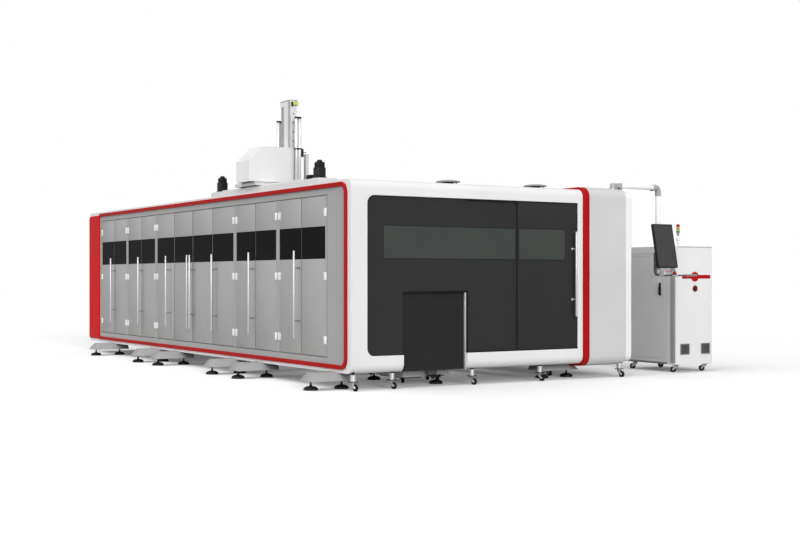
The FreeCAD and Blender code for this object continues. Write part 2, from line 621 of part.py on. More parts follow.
SILL = ("housing_bottom", "housing_bottom + shell_wall")
HEAD = "housing_top - shell_wall"
sill = span("sill_outer", ("0", "fascia_depth", SILL[0]), ("body_width", "housing_length", SILL[1]))
sill_hole = span("sill_hole", ("side_wall", "fascia_depth + sill_depth", "housing_bottom - 1"),
                 ("body_width - side_wall", "housing_length - side_wall", SILL[1] + " + 1"))
sill_notch = span("sill_notch", ("outlet_left - guide_width", "fascia_depth - 1", "housing_bottom - 1"),
                  ("outlet_right + guide_width", "fascia_depth + sill_depth + 1", SILL[1] + " + 1"))
piece("floor_frame", cut("sill", sill, [sill_hole, sill_notch]))

walls = span("walls_outer", ("side_wall", "fascia_depth", SILL[1]), ("body_width", "housing_length", HEAD))
walls_room = span("walls_room", ("side_wall - 1", "fascia_depth - 1", SILL[1] + " - 1"),
                  ("body_width - side_wall", "housing_length - side_wall", HEAD + " + 1"))
piece("back_and_right_walls", cut("walls", walls, [walls_room]))

# The left side's doorways: near edge, number of leaves, leaf width, and the leaves that carry a pull bar.
PAIR, FOLD = "leaf_width", "fold_width"
DOORWAYS = []
near_edge = "leaf_start"
for leaves, width, gripped in ((2, PAIR, (1,)), (2, PAIR, (1,)), (4, FOLD, (0, 1, 2, 3)), (2, PAIR, (0,)),
                               (2, PAIR, (0,))):
    far_edge = f"{near_edge} + {leaves} * {width}"
    DOORWAYS.append((near_edge, far_edge, leaves, width, gripped))
    near_edge = f"{far_edge} + mullion_width"

frame = span("frame_outer", ("0", "fascia_depth", SILL[1]), ("side_wall", "housing_length", HEAD))
frame_cuts = []
for number, (near, far, leaves, width, gripped) in enumerate(DOORWAYS, start=1):
    frame_cuts.append(span(f"doorway_{number}", ("-1", near, "leaf_bottom"),
                           ("leaf_thick + leaf_gap", far, "leaf_top")))
    frame_cuts.append(span(f"doorway_stop_{number}", ("0", f"{near} + stop_lap", "leaf_bottom + stop_lap"),
                           ("side_wall + 1", f"{far} - stop_lap", "leaf_top - stop_lap")))
piece("side_frame", cut("frame", frame, frame_cuts))

trim = span("trim_outer", ("-trim_proud", "trim_front", "trim_bottom"), ("0", "strip_start", "trim_top"))
trim = rounded_corners("trim_edges", trim, VALUES["trim_round"], "x", [("near", "low"), ("near", "high")])
inside = span("trim_inner", ("-trim_proud - 1", "trim_front + trim_width", "trim_bottom + trim_width"),
              ("1", "strip_start + 1", "trim_top - trim_width"))
inside = rounded_corners("trim_inside", inside, VALUES["trim_round"] - VALUES["trim_width"], "x",
                         [("near", "low"), ("near", "high")])
piece("left_trim", cut("trim", trim, [inside]))

strip = span("strip_plate", ("-trim_proud", "strip_start", "strip_bottom"), ("0", "housing_length", "strip_top"))
strip = rounded_corners("strip_edges", strip, VALUES["strip_round"], "x", [("far", "low"), ("far", "high")])
DOC.recompute()
bevel = DOC.addObject("Part::Chamfer", "strip_bevel")
bevel.Base = strip
bevel.Edges = [(number, VALUES["strip_chamfer"], VALUES["strip_chamfer"])
               for number, edge in enumerate(strip.Shape.Edges, start=1)
               if abs(edge.CenterOfMass.x - strip.Shape.BoundBox.XMin) < CLOSE
               and edge.CenterOfMass.y > strip.Shape.BoundBox.YMin + CLOSE]
piece("end_strip", bevel)

BAND_LOW = "housing_bottom - band_proud"
BAND_HIGH = "housing_top + band_proud"


def hoop(name, left, right, wall, radius):
    """A frame that follows the housing's outline, open to the left and the right."""
    whole = span(name + "_outer", (left, "-band_proud", BAND_LOW), (right, "housing_length", BAND_HIGH))
    whole = rounded_corners(name + "_edges", whole, radius, "x", [("near", "low"), ("near", "high")])
    OUTLINES[name] = whole
    room = span(name + "_room", (f"{left} - 1", f"{wall} - band_proud", f"{BAND_LOW} + {wall}"),
                (f"{right} + 1", f"housing_length - {wall}", f"{BAND_HIGH} - {wall}"))
    return cut(name, whole, [room])


SLEEVE = "body_width + band_width"
CAP = "sleeve_right"
band_round = VALUES["front_round"] + VALUES["band_proud"]
piece("right_band", hoop("band", "body_width", SLEEVE, "band_wall", band_round))
piece("side_sleeve", hoop("sleeve", SLEEVE, CAP, "sleeve_wall", band_round))

cap = span("cap_outer", (CAP, "0", "housing_bottom"), (f"{CAP} + cap_width", "housing_length", "housing_top"))
cap = rounded_corners("cap_edges", cap, VALUES["cap_round"], "x", [("near", "low"), ("near", "high")])
DOC.recompute()
cap_rim = DOC.addObject("Part::Chamfer", "cap_rim")
cap_rim.Base = cap
cap_rim.Edges = [(number, VALUES["cap_bevel"], VALUES["cap_bevel"])
                 for number, edge in enumerate(cap.Shape.Edges, start=1)
                 if abs(edge.CenterOfMass.x - cap.Shape.BoundBox.XMax) < CLOSE]
cap_room = span("cap_room", (f"{CAP} - 1", "sleeve_wall", "housing_bottom + sleeve_wall"),
                (f"{CAP} + cap_width - sleeve_wall", "housing_length - sleeve_wall", "housing_top - sleeve_wall"))
piece("end_cap", cut("cap", cap_rim, [cap_room]))

# Front panel, sliding door and outlet ------------------------------------------------------------------
sheet_panel = span("panel_sheet", ("panel_left", "panel_recess", "panel_bottom"),
                   ("slider_left + panel_lap", "panel_recess + panel_thick", "panel_top"))
sheet_panel = rounded_corners("panel_edges", sheet_panel, VALUES["panel_corner"], "y",
                              [("left", "low"), ("left", "high")])
panel_window = span("panel_window", ("front_window_left", "panel_recess - 1", "window_bottom"),
                    ("front_window_right", "panel_recess + panel_thick + 1", "window_top"))
panel_outlet = span("panel_outlet", ("outlet_left", "panel_recess - 1", "panel_bottom - 1"),
                    ("outlet_right", "panel_recess + panel_thick + 1", "outlet_top"))
piece("front_panel", cut("panel", sheet_panel, [panel_window, panel_outlet]))
piece("front_window", block("window", ("front_window_left", "panel_recess + 1", "window_bottom"),
                            ("front_window_right - front_window_left", "pane_thick",
                             "window_top - window_bottom")))

channels = []
for end, low, groove in (("lower", "panel_bottom", "panel_bottom + track_web"),
                         ("upper", "panel_top - track_height", "panel_top - track_height - 1")):
    channel = block(f"track_{end}", ("track_left", "slider_face - 3 * slide_clearance", low),
                    ("panel_right - track_left", "slider_thick + 6 * slide_clearance", "track_height"))
    groove = block(f"track_{end}_groove", ("track_left - 1", "slider_face - slide_clearance", groove),
                   ("panel_right - track_left + 2", "slider_thick + 2 * slide_clearance",
                    "track_height - track_web + 1"))
    channels.append(cut(f"track_{end}_channel", channel, [groove]))
piece("door_track", group("tracks", channels))

SLIDER_LOW = "panel_bottom + track_web + slide_clearance"
SLIDER_HIGH = "panel_top - track_web - slide_clearance"
slider = span("slider_sheet", ("slider_left", "slider_face", SLIDER_LOW),
              ("panel_right - 2 * slide_clearance", "slider_face + slider_thick", SLIDER_HIGH))
slider_hole = span("slider_hole", ("slider_window_left", "slider_face - 1", "window_bottom"),
                   ("slider_window_right", "slider_face + slider_thick + 1", "window_top"))
slider_frame = cut("slider_frame", slider, [slider_hole])
PULL_Y = "slider_face - pull_standoff"
pull = [slider_frame, bar("pull_bar", ("pull_x", PULL_Y, "pull_bottom"), "pull_radius", "pull_top - pull_bottom",
                          sides=FLATS)]
for number, height in enumerate(("pull_bottom + pull_inset", "pull_top - pull_inset"), start=1):
    pull.append(bar(f"pull_post_{number}", ("pull_x", PULL_Y, height), "post_radius", "pull_standoff", "y"))
piece("sliding_door", fuse("slider", pull))
piece("sliding_window", block("slider_pane", ("slider_window_left", "slider_face + 1", "window_bottom"),
                              ("slider_window_right - slider_window_left", "pane_thick",
                               "window_top - window_bottom")))

DOOR_LOW = "housing_bottom + outlet_gap"
piece("outlet_door", block("lift_door", ("outlet_left - outlet_lap", "outlet_face", DOOR_LOW),
                           ("outlet_right - outlet_left + 2 * outlet_lap", "outlet_thick",
                            f"outlet_top - ({DOOR_LOW}) - outlet_gap")))
guides = []
for side, left, groove in (("left", "outlet_left - guide_width", "outlet_left - outlet_lap - outlet_gap"),
                           ("right", "outlet_right", "outlet_right - 1")):
    guide = block(f"guide_{side}", (left, "shell_wall", "housing_bottom"),
                  ("guide_width", "guide_depth", "guide_top - housing_bottom"))
    run = block(f"guide_{side}_groove", (groove, "outlet_face - slide_clearance", "housing_bottom - 1"),
                ("outlet_lap + outlet_gap + 1", "outlet_thick + 2 * slide_clearance",
                 "guide_top - housing_bottom + 2"))
    guides.append(cut(f"guide_{side}_channel", guide, [run]))
piece("outlet_guides", group("guides", guides))

# Side door leaves and their hinges ---------------------------------------------------------------------
HINGE_HEIGHTS = [f"hinge_first + {step} * hinge_pitch" for step in range(3)]
fixed_hinges = []


def flap(name, corner, width):
    """One hinge flap on an outer or inner face."""
    return block(name, corner, ("hinge_thick", width, "hinge_height"))


def side_leaf(number, near, far, pin_edge, fold, grip_y):
    """A side door leaf with its window band, pull bar and hinge flaps, as one welded piece."""
    name = f"side_door_{number}"
    middle_gap = "fold_gap" if fold else "leaf_gap"
    hung_near = pin_edge == near
    start = f"{near} + " + ("leaf_gap" if hung_near else middle_gap)
    stop = f"{far} - " + (middle_gap if hung_near else "leaf_gap")
    body = span(name + "_sheet", ("0", start, "leaf_bottom + leaf_gap"), ("leaf_thick", stop, "leaf_top - leaf_gap"))
    band = span(name + "_band", ("-1", f"{start} - 1", "window_bottom"),
                ("glass_rebate", f"{stop} + 1", "window_top"))
    hole = span(name + "_hole", ("0", f"{start} + leaf_stile", "window_bottom + glass_rebate"),
                ("leaf_thick + 1", f"{stop} - leaf_stile", "window_top - glass_rebate"))
    glass = span(name + "_glass", ("1", start, "window_bottom"), ("glass_rebate", stop, "window_top"))
    parts = [cut(name + "_frame", body, [band, hole]), glass]
    if grip_y:
        height = "grip_top - grip_bottom"
        parts.append(bar(name + "_bar", ("-grip_standoff", grip_y, "grip_bottom"), "grip_radius", height,
                         sides=GRIP_FLATS))
        for end, level in (("low", "grip_bottom + grip_inset"), ("high", "grip_top - grip_inset")):
            parts.append(bar(f"{name}_post_{end}", ("-grip_standoff", grip_y, level), "post_radius",
                             "grip_standoff + 1", "x", PIN_FLATS))
    for step, height in enumerate(HINGE_HEIGHTS):
        clear = "hinge_offset + leaf_gap"
        if fold != "inner":
            leaf_side = f"{pin_edge} + {clear}" if hung_near else f"{pin_edge} - hinge_flap"
            parts.append(flap(f"{name}_flap_{step}", ("-hinge_thick", leaf_side, height),
                              f"hinge_flap - ({clear})"))
            post_side = f"{pin_edge} - hinge_flap" if hung_near else pin_edge
            fixed = [flap(f"{name}_post_flap_{step}", ("-hinge_thick", post_side, height), "hinge_flap"),
                     bar(f"{name}_pin_{step}", ("-hinge_offset", pin_edge, height), "hinge_pin", "hinge_height",
                         sides=PIN_FLATS)]
            fixed_hinges.append(fuse(f"{name}_hinge_{step}", fixed))
    return name, parts


def fold_hinges(name, seam, side, with_pin):
    """The folding leaves' inner hinge flaps, to one side of the seam between two leaves."""
    parts = []
    clear = "hinge_offset + leaf_gap"
    for step, height in enumerate(HINGE_HEIGHTS):
        edge = f"{seam} + {clear}" if side > 0 else f"{seam} - hinge_flap"
        reach = f"hinge_flap - ({clear})"
        if with_pin:
            edge = seam if side > 0 else f"{seam} - hinge_flap"
            reach = "hinge_flap"
            parts.append(bar(f"{name}_fold_pin_{step}", ("leaf_thick + hinge_offset", seam, height),
                             "hinge_pin", "hinge_height", sides=PIN_FLATS))
        parts.append(flap(f"{name}_fold_flap_{step}", ("leaf_thick", edge, height), reach))
    return parts


leaf_number = 0
for near, far, leaves, width, gripped in DOORWAYS:
    for place_in in range(leaves):
        leaf_number += 1
        leaf_near = f"{near} + {place_in} * {width}"
        leaf_far = f"{near} + {place_in + 1} * {width}"
        first_half = place_in < leaves / 2
        fold = ("outer" if place_in in (0, 3) else "inner") if leaves == 4 else ""
        pin_edge = leaf_near if first_half else leaf_far
        free_edge = leaf_far if first_half else leaf_near
        inward = "-" if first_half else "+"
        edge_of = "fold_grip_edge" if fold == "outer" else "grip_edge"
        grip_y = f"{free_edge} {inward} {edge_of}" if place_in in gripped else ""
        name, parts = side_leaf(leaf_number, leaf_near, leaf_far, pin_edge, fold, grip_y)
        if fold:
            seam = free_edge if fold == "outer" else pin_edge
            side = (-1 if fold == "outer" else 1) * (1 if first_half else -1)
            parts += fold_hinges(name, seam, side, fold == "outer")
        piece(name, fuse(name + "_whole", parts))
piece("side_hinges", group("hinges", fixed_hinges))

# Bed, feet, table and rail bridges ---------------------------------------------------------------------
BED_RIGHT_INNER = "bed_right - beam_width"
MIRROR = "(bed_left + bed_right)"
bed_parts = []
feet = []


def foot(name, across, back):
    """A levelling foot: a bell pad and its screw."""
    pad = bell(name + "_pad", (across, back, "0"), "foot_radius", "foot_neck", "pad_height")
    screw = bar(name + "_screw", (across, back, "pad_height - 1"), "screw_radius", "foot_height - pad_height + 1",
                sides=PIN_FLATS)
    feet.append(fuse(name, [pad, screw]))


def leg(name, back, mirrored):
    """A flared leg that reaches from under a side beam to outside the housing."""
    item = DOC.addObject("Part::Wedge", name)
    item.Placement = FreeCAD.Placement(FreeCAD.Vector(), UPRIGHT)
    if mirrored:
        bind(item, Xmin="-leg_inner", Xmax="leg_reach", X2min="-leg_inner", X2max="leg_top_reach")
    else:
        bind(item, Xmin="-leg_reach", Xmax="leg_inner", X2min="-leg_top_reach", X2max="leg_inner")
    bind(item, Zmin="-leg_foot_half", Zmax="leg_foot_half", Z2min="-leg_top_half", Z2max="leg_top_half")
    bind(item, Ymin="0", Ymax="housing_bottom - foot_height")
    place(item, (MIRROR if mirrored else "0", back, "foot_height"))
    return item


for segment in range(3):
    start = f"segment_start + {segment} * segment_pitch"
    stop = f"{start} + segment_pitch - segment_gap"
    segment_parts = [
        span(f"bed_beam_left_{segment}", ("bed_left", start, "housing_bottom"),
             ("bed_left + beam_width", stop, "bed_top")),
        span(f"bed_beam_right_{segment}", (BED_RIGHT_INNER, start, "housing_bottom"),
             ("bed_right", stop, "bed_top")),
    ]
    for pair in range(2):
        back = f"leg_first + {segment} * segment_pitch + {pair} * leg_spacing"
        cross = f"{back} + cross_offset" if pair == 0 else f"{back} - cross_offset"
        segment_parts.append(span(f"bed_cross_{segment}_{pair}",
                                  ("bed_left + beam_width", f"{cross} - cross_half", "housing_bottom"),
                                  (BED_RIGHT_INNER, f"{cross} + cross_half", "cross_top")))
        for mirrored in (False, True):
            side = "right" if mirrored else "left"
            segment_parts.append(leg(f"bed_leg_{segment}_{pair}_{side}", back, mirrored))
            for reach, across in (("outer", "-outer_foot"), ("inner", "inner_foot")):
                across = f"{MIRROR} - ({across})" if mirrored else across
                foot(f"foot_{segment}_{pair}_{side}_{reach}", across, back)
    bed_parts.append(fuse(f"bed_segment_{segment}", segment_parts))
piece("bed_frame", group("bed", bed_parts))
piece("levelling_feet", group("feet", feet))

TABLE_LEFT = "bed_left + beam_width - table_lap"
TABLE_RIGHT = f"{BED_RIGHT_INNER} + table_lap"
table = span("table_outer", (TABLE_LEFT, "table_start", "bed_top"),
             (TABLE_RIGHT, "table_end", "bed_top + table_frame"))
table_hole = span("table_hole", (f"{TABLE_LEFT} + table_rail", "table_start + table_rail", "bed_top - 1"),
                  (f"{TABLE_RIGHT} - table_rail", "table_end - table_rail", "bed_top + table_frame + 1"))
slats = [cut("table_ring", table, [table_hole])]
slat_count = int((VALUES["table_end"] - VALUES["table_start"]) // VALUES["slat_pitch"])
for number in range(slat_count):
    slats.append(block(f"slat_{number}", (f"{TABLE_LEFT} + slat_thick",
                                          f"table_start + ({number} + 0.5) * slat_pitch", "bed_top + table_frame"),
                       (f"{TABLE_RIGHT} - ({TABLE_LEFT}) - 2 * slat_thick", "slat_thick", "slat_height")))
piece("work_table", group("table", slats))

BRIDGES = (("near", "bridge_near"), ("far", "bridge_far"))
bridges = []
rails = []
RAIL_Y = "(bridge_depth - rail_width) / 2"
for end, front in BRIDGES:
    bridge = [span(f"bridge_{end}", ("bed_left + column_inset", front, "bridge_bottom"),
                   ("bed_right - column_inset", f"{front} + bridge_depth", "bridge_top"))]
    for side, left in (("left", "bed_left + column_inset"), ("right", "bed_right - column_inset - column_width")):
        bridge.append(block(f"column_{end}_{side}", (left, front, "bed_top"),
                            ("column_width", "bridge_depth", "bridge_bottom - bed_top")))
    bridges.append(fuse(f"bridge_{end}_frame", bridge))
    length = "bed_right - column_inset - rail_start"
    rails.append(block(f"rail_{end}", ("rail_start", f"{front} + {RAIL_Y}", "bridge_top"),
                       (length, "rail_width", "rail_height")))
    rails.append(block(f"rack_{end}", ("rail_start", f"{front} + {RAIL_Y} - rack_offset - rack_width",
                                       "bridge_top"),
                       (length, "rack_width", "rail_height")))
piece("rail_bridges", group("bridges", bridges))
piece("linear_rails", group("rails", rails))

# Gantry, carriage, ram and head ------------------------------------------------------------------------
gantry = [span("gantry_spar", ("gantry_left", "gantry_near", "gantry_end_bottom"),
               ("gantry_left + gantry_width", "gantry_far", "gantry_top")),
          span("gantry_web", ("gantry_left", "bridge_near + bridge_depth + gantry_clearance", "gantry_bottom"),
               ("gantry_left + gantry_width", "bridge_far - gantry_clearance", "gantry_end_bottom"))]
for number, left in enumerate(("gantry_left + cross_rail_inset",
                               "gantry_left + gantry_width - cross_rail_inset - cross_rail_width")):
    gantry.append(span(f"cross_rail_{number}", (left, "cross_rail_start", "gantry_top"),
                       (f"{left} + cross_rail_width", "motor_far - motor_side",
                        "gantry_top + cross_rail_height")))
for end, front in BRIDGES:
    for number, left in enumerate(("gantry_left", "gantry_left + gantry_width - block_length")):
        across = f"{front} + (bridge_depth - block_width) / 2"
        bearing = span(f"block_{end}_{number}", (left, across, "bridge_top + 4 * block_clearance"),
                       (f"{left} + block_length", f"{across} + block_width", "gantry_end_bottom"))
        groove = span(f"block_{end}_{number}_groove",
                      (f"{left} - 1", f"{front} + {RAIL_Y} - block_clearance", "bridge_top"),
                      (f"{left} + block_length + 1", f"{front} + {RAIL_Y} + rail_width + block_clearance",
                       "bridge_top + rail_height + block_clearance"))
        gantry.append(cut(f"block_{end}_{number}_seat", bearing, [groove]))
piece("gantry_beam", fuse("gantry", gantry))

motors = []
for end, centre in (("near", "motor_near"), ("far", "motor_far")):
    half = "motor_side / 2"
    base = block(f"motor_{end}_body", (f"motor_x - {half}", f"{centre} - {half}", "gantry_top"),
                 ("motor_side", "motor_side", "motor_height - motor_cap"))
    top = block(f"motor_{end}_cap", (f"motor_x - {half} + motor_step", f"{centre} - {half} + motor_step",
                                     "gantry_top + motor_height - motor_cap"),
                ("motor_side - 2 * motor_step", "motor_side - 2 * motor_step", "motor_cap"))
    motors.append(fuse(f"motor_{end}", [base, top]))
motors.append(block("motor_junction", ("motor_x - junction_width / 2", "motor_near + junction_offset", "gantry_top"),
                    ("junction_width", "junction_length", "junction_height")))
piece("gantry_motors", group("motors", motors))

SADDLE_LOW = "gantry_top + cross_rail_height + saddle_clearance"
carriage = [
    span("saddle", ("saddle_left", "saddle_near", SADDLE_LOW), ("saddle_right", "saddle_far", "hood_bottom")),
    span("upright", ("gantry_left + gantry_width + slide_offset", "slide_near", "slide_bottom"),
         ("saddle_right", "slide_far", "hood_bottom")),
    span("arm_near", ("saddle_right - 1", "saddle_near", SADDLE_LOW),
         ("duct_left + duct_width", "arm_near_far", "hood_bottom")),
    span("arm_far", ("saddle_right - 1", "arm_far_near", SADDLE_LOW),
         ("ram_left + ram_width", "saddle_far", "hood_bottom")),
    span("duct", ("duct_left", "duct_near", "hood_bottom"),
         ("duct_left + duct_width", "duct_near + duct_depth", "duct_top")),
]
for number, near in enumerate(("slide_near + shoe_inset", "slide_far - shoe_inset - shoe_width")):
    carriage.append(span(f"shoe_{number}", ("saddle_right - 1", near, "slide_bottom + shoe_inset"),
                         ("ram_left - shoe_gap", f"{near} + shoe_width", "hood_bottom - shoe_inset")))
piece("carriage", fuse("carriage_body", carriage))

hood_body = outline_body(
    "hood_outline", "XZ_Plane",
    [("hood_left", "hood_bottom"), ("hood_right", "hood_bottom"), ("hood_right", "hood_top"),
     ("hood_left + hood_slope", "hood_top"), ("hood_left", "hood_top - hood_slope")],
    "hood_far - hood_near")
place(hood_body, ("0", "hood_far", "0"))
hood = rounded_corners("hood_edges", hood_body, VALUES["hood_round"], "z", [("right", "near")])
hood_room = span("hood_room", ("hood_left + hood_wall", "hood_near + hood_wall", "hood_bottom - 1"),
                 ("hood_right - hood_round", "hood_far - hood_wall", "hood_top - hood_slope"))
hood_slot = span("hood_slot", ("ram_left - hood_notch", "ram_near - hood_notch", "hood_bottom - 1"),
                 ("hood_right + 1", "hood_far + 1", "hood_top + 1"))
piece("carriage_hood", cut("hood", hood, [hood_room, hood_slot]))

cylinders = []
for end, centre in (("near", "cylinder_near"), ("far", "cylinder_far")):
    parts = [bar(f"tube_{end}_{number}", (f"cylinder_x + {number} * cylinder_spacing", centre, "hood_bottom"),
                 "cylinder_radius", "cylinder_top - cylinder_cap - hood_bottom", sides=GRIP_FLATS)
             for number in range(2)]
    parts.append(span(f"tube_cap_{end}", ("cylinder_x - cylinder_block", f"{centre} - cylinder_block",
                                          "cylinder_top - cylinder_cap"),
                      ("cylinder_x + cylinder_spacing + cylinder_block", f"{centre} + cylinder_block",
                       "cylinder_top")))
    parts.append(span(f"tube_clamp_{end}", ("cylinder_x - cylinder_block", f"{centre} - cylinder_block",
                                            "clamp_height"),
                      ("cylinder_x + cylinder_spacing + cylinder_block", f"{centre} + cylinder_block",
                       "clamp_height + cylinder_cap")))
    cylinders.append(fuse(f"cylinder_{end}", parts))
piece("balance_cylinders", group("cylinders", cylinders))

RAM_RIGHT = "ram_left + ram_width"
RAM_FAR = "ram_near + ram_depth"
ram_bar = span("ram_bar", ("ram_left", "ram_near + ram_rail_thick", "ram_bottom"), (RAM_RIGHT, RAM_FAR, "ram_top"))
ram_groove = span("ram_groove", ("ram_left - 1", f"{RAM_FAR} - ram_channel", "ram_bottom + ram_channel"),
                  ("ram_left + ram_channel_depth", f"{RAM_FAR} + 1", "ram_top - ram_channel"))
ram_parts = [cut("ram_section", ram_bar, [ram_groove]),
             span("ram_rail", ("ram_left + ram_rail_inset", "ram_near", "ram_bottom + ram_channel"),
                  ("ram_left + ram_rail_inset + ram_rail_width", "ram_near + ram_rail_thick + 1", "ram_top")),
             span("ram_bumper", (f"{RAM_RIGHT} - 1", "ram_near + ram_rail_thick", "ram_top - bumper_height"),
                  (f"{RAM_RIGHT} + bumper_depth", "ram_near + ram_rail_thick + bumper_width", "ram_top")),
             span("ram_top_plate", ("ram_left", "ram_near", "ram_top"), (RAM_RIGHT, RAM_FAR, "ram_top + ram_plate"))]
piece("z_ram", fuse("ram", ram_parts))

HEAD_X = "ram_left + ram_width / 2"
HEAD_Y = "ram_near + ram_depth / 2"
FORK_X = f"{HEAD_X} + head_width / 2 + head_clearance"
TILT = "ram_bottom - tilt_drop"
swivel = [bar("swivel_drum", (HEAD_X, HEAD_Y, "ram_bottom - swivel_height"), "swivel_radius", "swivel_height",
              sides=FLATS),
          block("swivel_arm", (FORK_X, f"{HEAD_Y} - head_width / 2", "ram_bottom - swivel_height - fork_length"),
                ("fork_thick", "head_width", "fork_length + 1")),
          rod("swivel_pin", (f"{FORK_X} - head_pin_reach", HEAD_Y, TILT), "head_pin", "head_pin_reach + 1", "x")]
piece("head_swivel", fuse("swivel", swivel))
head = [block("head_body", (f"{HEAD_X} - head_width / 2", f"{HEAD_Y} - head_width / 2", f"{TILT} - head_drop"),
              ("head_width", "head_width", "head_drop + head_rise")),
        bell("head_nozzle", (HEAD_X, HEAD_Y, f"{TILT} - head_drop - nozzle_length"), "nozzle_tip",
             "head_width / 2 - nozzle_tip", "nozzle_length")]
head_bore = rod("head_bore", (f"{FORK_X} - head_pin_reach - 1", HEAD_Y, TILT), "head_pin + pivot_fit",
                "head_pin_reach + 2", "x")
piece("cutting_head", cut("head", fuse("head_solid", head), [head_bore]))

# Roof vents and casters --------------------------------------------------------------------------------
vents = []
for side, across in (("left", "vent_left"), ("right", "vent_right")):
    neck = bar(f"vent_{side}_neck", (across, "vent_near", "housing_top"), "vent_neck",
               "vent_height - vent_cap", sides=GRIP_FLATS)
    lid = bar(f"vent_{side}_cap", (across, "vent_near", "housing_top + vent_height - vent_cap"),
              "vent_radius", "vent_cap", sides=FLATS)
    vents.append(fuse(f"vent_{side}", [neck, lid]))
piece("roof_vents", group("vents", vents))


def caster(name, across, back, top):
    """A swivel caster: stem, fork and wheel, standing on the floor."""
    crown = "2 * wheel_radius + 2 * caster_plate"
    wheel_y = f"{back} + caster_trail"
    parts = [bar(name + "_stem", (across, back, f"{crown} - caster_plate"), "stem_radius",
                 f"{top} - ({crown}) + caster_plate", sides=PIN_FLATS)]
    parts.append(block(name + "_fork", (f"{across} - fork_width / 2", f"{wheel_y} - stem_radius", "wheel_radius"),
                       ("fork_width", "2 * stem_radius", f"{crown} - wheel_radius")))
    parts.append(bar(name + "_wheel", (f"{across} - wheel_width / 2", wheel_y, "wheel_radius"), "wheel_radius",
                     "wheel_width", "x", GRIP_FLATS))
    return fuse(name, parts)


SILL_LIFT = "housing_bottom + front_round / 2"
SLEEVE_CASTER = f"{CAP} - sleeve_caster_inset"
HOUSING_CASTERS = [("corner_caster", "corner_caster", SILL_LIFT),
                   ("outlet_left - outlet_caster", "front_caster_y", "housing_bottom + shell_wall / 2"),
                   ("outlet_right + outlet_caster", "front_caster_y", "housing_bottom + shell_wall / 2"),
                   ("right_caster", "front_caster_y", "housing_bottom + shell_wall / 2"),
                   ("body_width - side_wall / 2", "wall_caster_y", "housing_bottom"),
                   (SLEEVE_CASTER, "sleeve_caster_y", f"{BAND_LOW} + front_round"),
                   (SLEEVE_CASTER, "housing_length / 3", BAND_LOW),
                   (SLEEVE_CASTER, "2 * housing_length / 3", BAND_LOW),
                   (SLEEVE_CASTER, "housing_length - back_caster", BAND_LOW)]
casters = [caster(f"housing_caster_{number}", *where) for number, where in enumerate(HOUSING_CASTERS)]
piece("housing_casters", cut("casters", group("caster_set", casters), [OUTLINES["fascia"], OUTLINES["sleeve"]]))

# Operator console --------------------------------------------------------------------------------------
ROOF_LINE = BAND_HIGH
HUB_LOW = f"{ROOF_LINE} + pivot_plate + pivot_gap"
pivot_foot = block("pivot_foot", ("console_pivot_x - pivot_radius", "console_y - pivot_radius",
                                  f"{ROOF_LINE} - sleeve_wall"),
                   ("2 * pivot_radius", "2 * pivot_radius", "sleeve_wall + pivot_plate"))
pivot = [cut("pivot_base", pivot_foot, [OUTLINES["sleeve"]]),
         rod("pivot_post", ("console_pivot_x", "console_y", ROOF_LINE), "pivot_pin",
             "pivot_plate + pivot_gap + pivot_height")]
piece("monitor_bracket", fuse("pivot", pivot))

ARM_Z = f"{HUB_LOW} + pivot_height / 2"
ARM_END = "console_pivot_x + arm_reach"
arm = fuse("arm_solid", [
    bar("arm_hub", ("console_pivot_x", "console_y", HUB_LOW), "pivot_radius", "pivot_height", sides=FLATS),
    bar("arm_tube", ("console_pivot_x", "console_y", ARM_Z), "arm_radius", "arm_reach", "x", GRIP_FLATS),
    bar("arm_elbow", (ARM_END, "console_y", f"{ARM_Z} - elbow_drop"), "elbow_radius",
        "elbow_drop + arm_radius", sides=FLATS)])
hub_bore = rod("arm_bore", ("console_pivot_x", "console_y", f"{HUB_LOW} - 1"), "pivot_pin + pivot_fit",
               "pivot_height + 2")
elbow_bore = rod("elbow_bore", (ARM_END, "console_y", f"{ARM_Z} - elbow_drop - 1"), "spigot_radius + pivot_fit",
                 "spigot_length + 2")
piece("monitor_arm", cut("arm", arm, [hub_bore, elbow_bore]))

TUBE_TOP = f"{ARM_Z} - elbow_drop - pivot_gap"
CONSOLE_LEFT = f"{ARM_END} + console_shift - console_width / 2"
BLOCK_LEFT = f"{ARM_END} - tilt_block / 2"
drop_parts = [
    bar("drop_shaft", (ARM_END, "console_y", "drop_bottom"), "arm_radius", f"{TUBE_TOP} - drop_bottom",
        sides=GRIP_FLATS),
    rod("drop_spigot", (ARM_END, "console_y", f"{TUBE_TOP} - 1"), "spigot_radius", "spigot_length + 1"),
    block("console_shell", (CONSOLE_LEFT, "-console_face", "console_bottom"),
          ("console_width", "console_face + console_y", "console_height")),
    block("tilt_lug", (BLOCK_LEFT, "tilt_y - tilt_block / 2", "tilt_height - tilt_block / 2"),
          ("tilt_block", "console_y - tilt_y", "tilt_block"))]
TRAY_FAR = "-console_face - tray_gap"
TRAY_LOW = "console_bottom + tray_rise"
TRAY_LUGS = (f"{CONSOLE_LEFT} + 2 * tray_lug", f"{CONSOLE_LEFT} + console_width - 3 * tray_lug")
for number, left in enumerate(TRAY_LUGS):
    drop_parts.append(span(f"tray_lug_{number}", (left, f"{TRAY_FAR} - tray_lug / 3", TRAY_LOW),
                           (f"{left} + tray_lug", "1 - console_face", f"{TRAY_LOW} + tray_thick")))
    drop_parts.append(bar(f"tray_pin_{number}", (f"{left} - leaf_gap", TRAY_FAR, f"{TRAY_LOW} + tray_thick / 2"),
                          "tray_pin", "tray_lug + 2 * leaf_gap", "x"))
tilt_bore = rod("tilt_bore", (f"{BLOCK_LEFT} - 1", "tilt_y", "tilt_height"), "tilt_pin + pivot_fit",
                "tilt_block + 2", "x")
STOP_X = f"{ARM_END} + console_shift + stop_shift"
STOP_Z = f"{TRAY_LOW} + tray_thick + stop_radius + stop_lift"
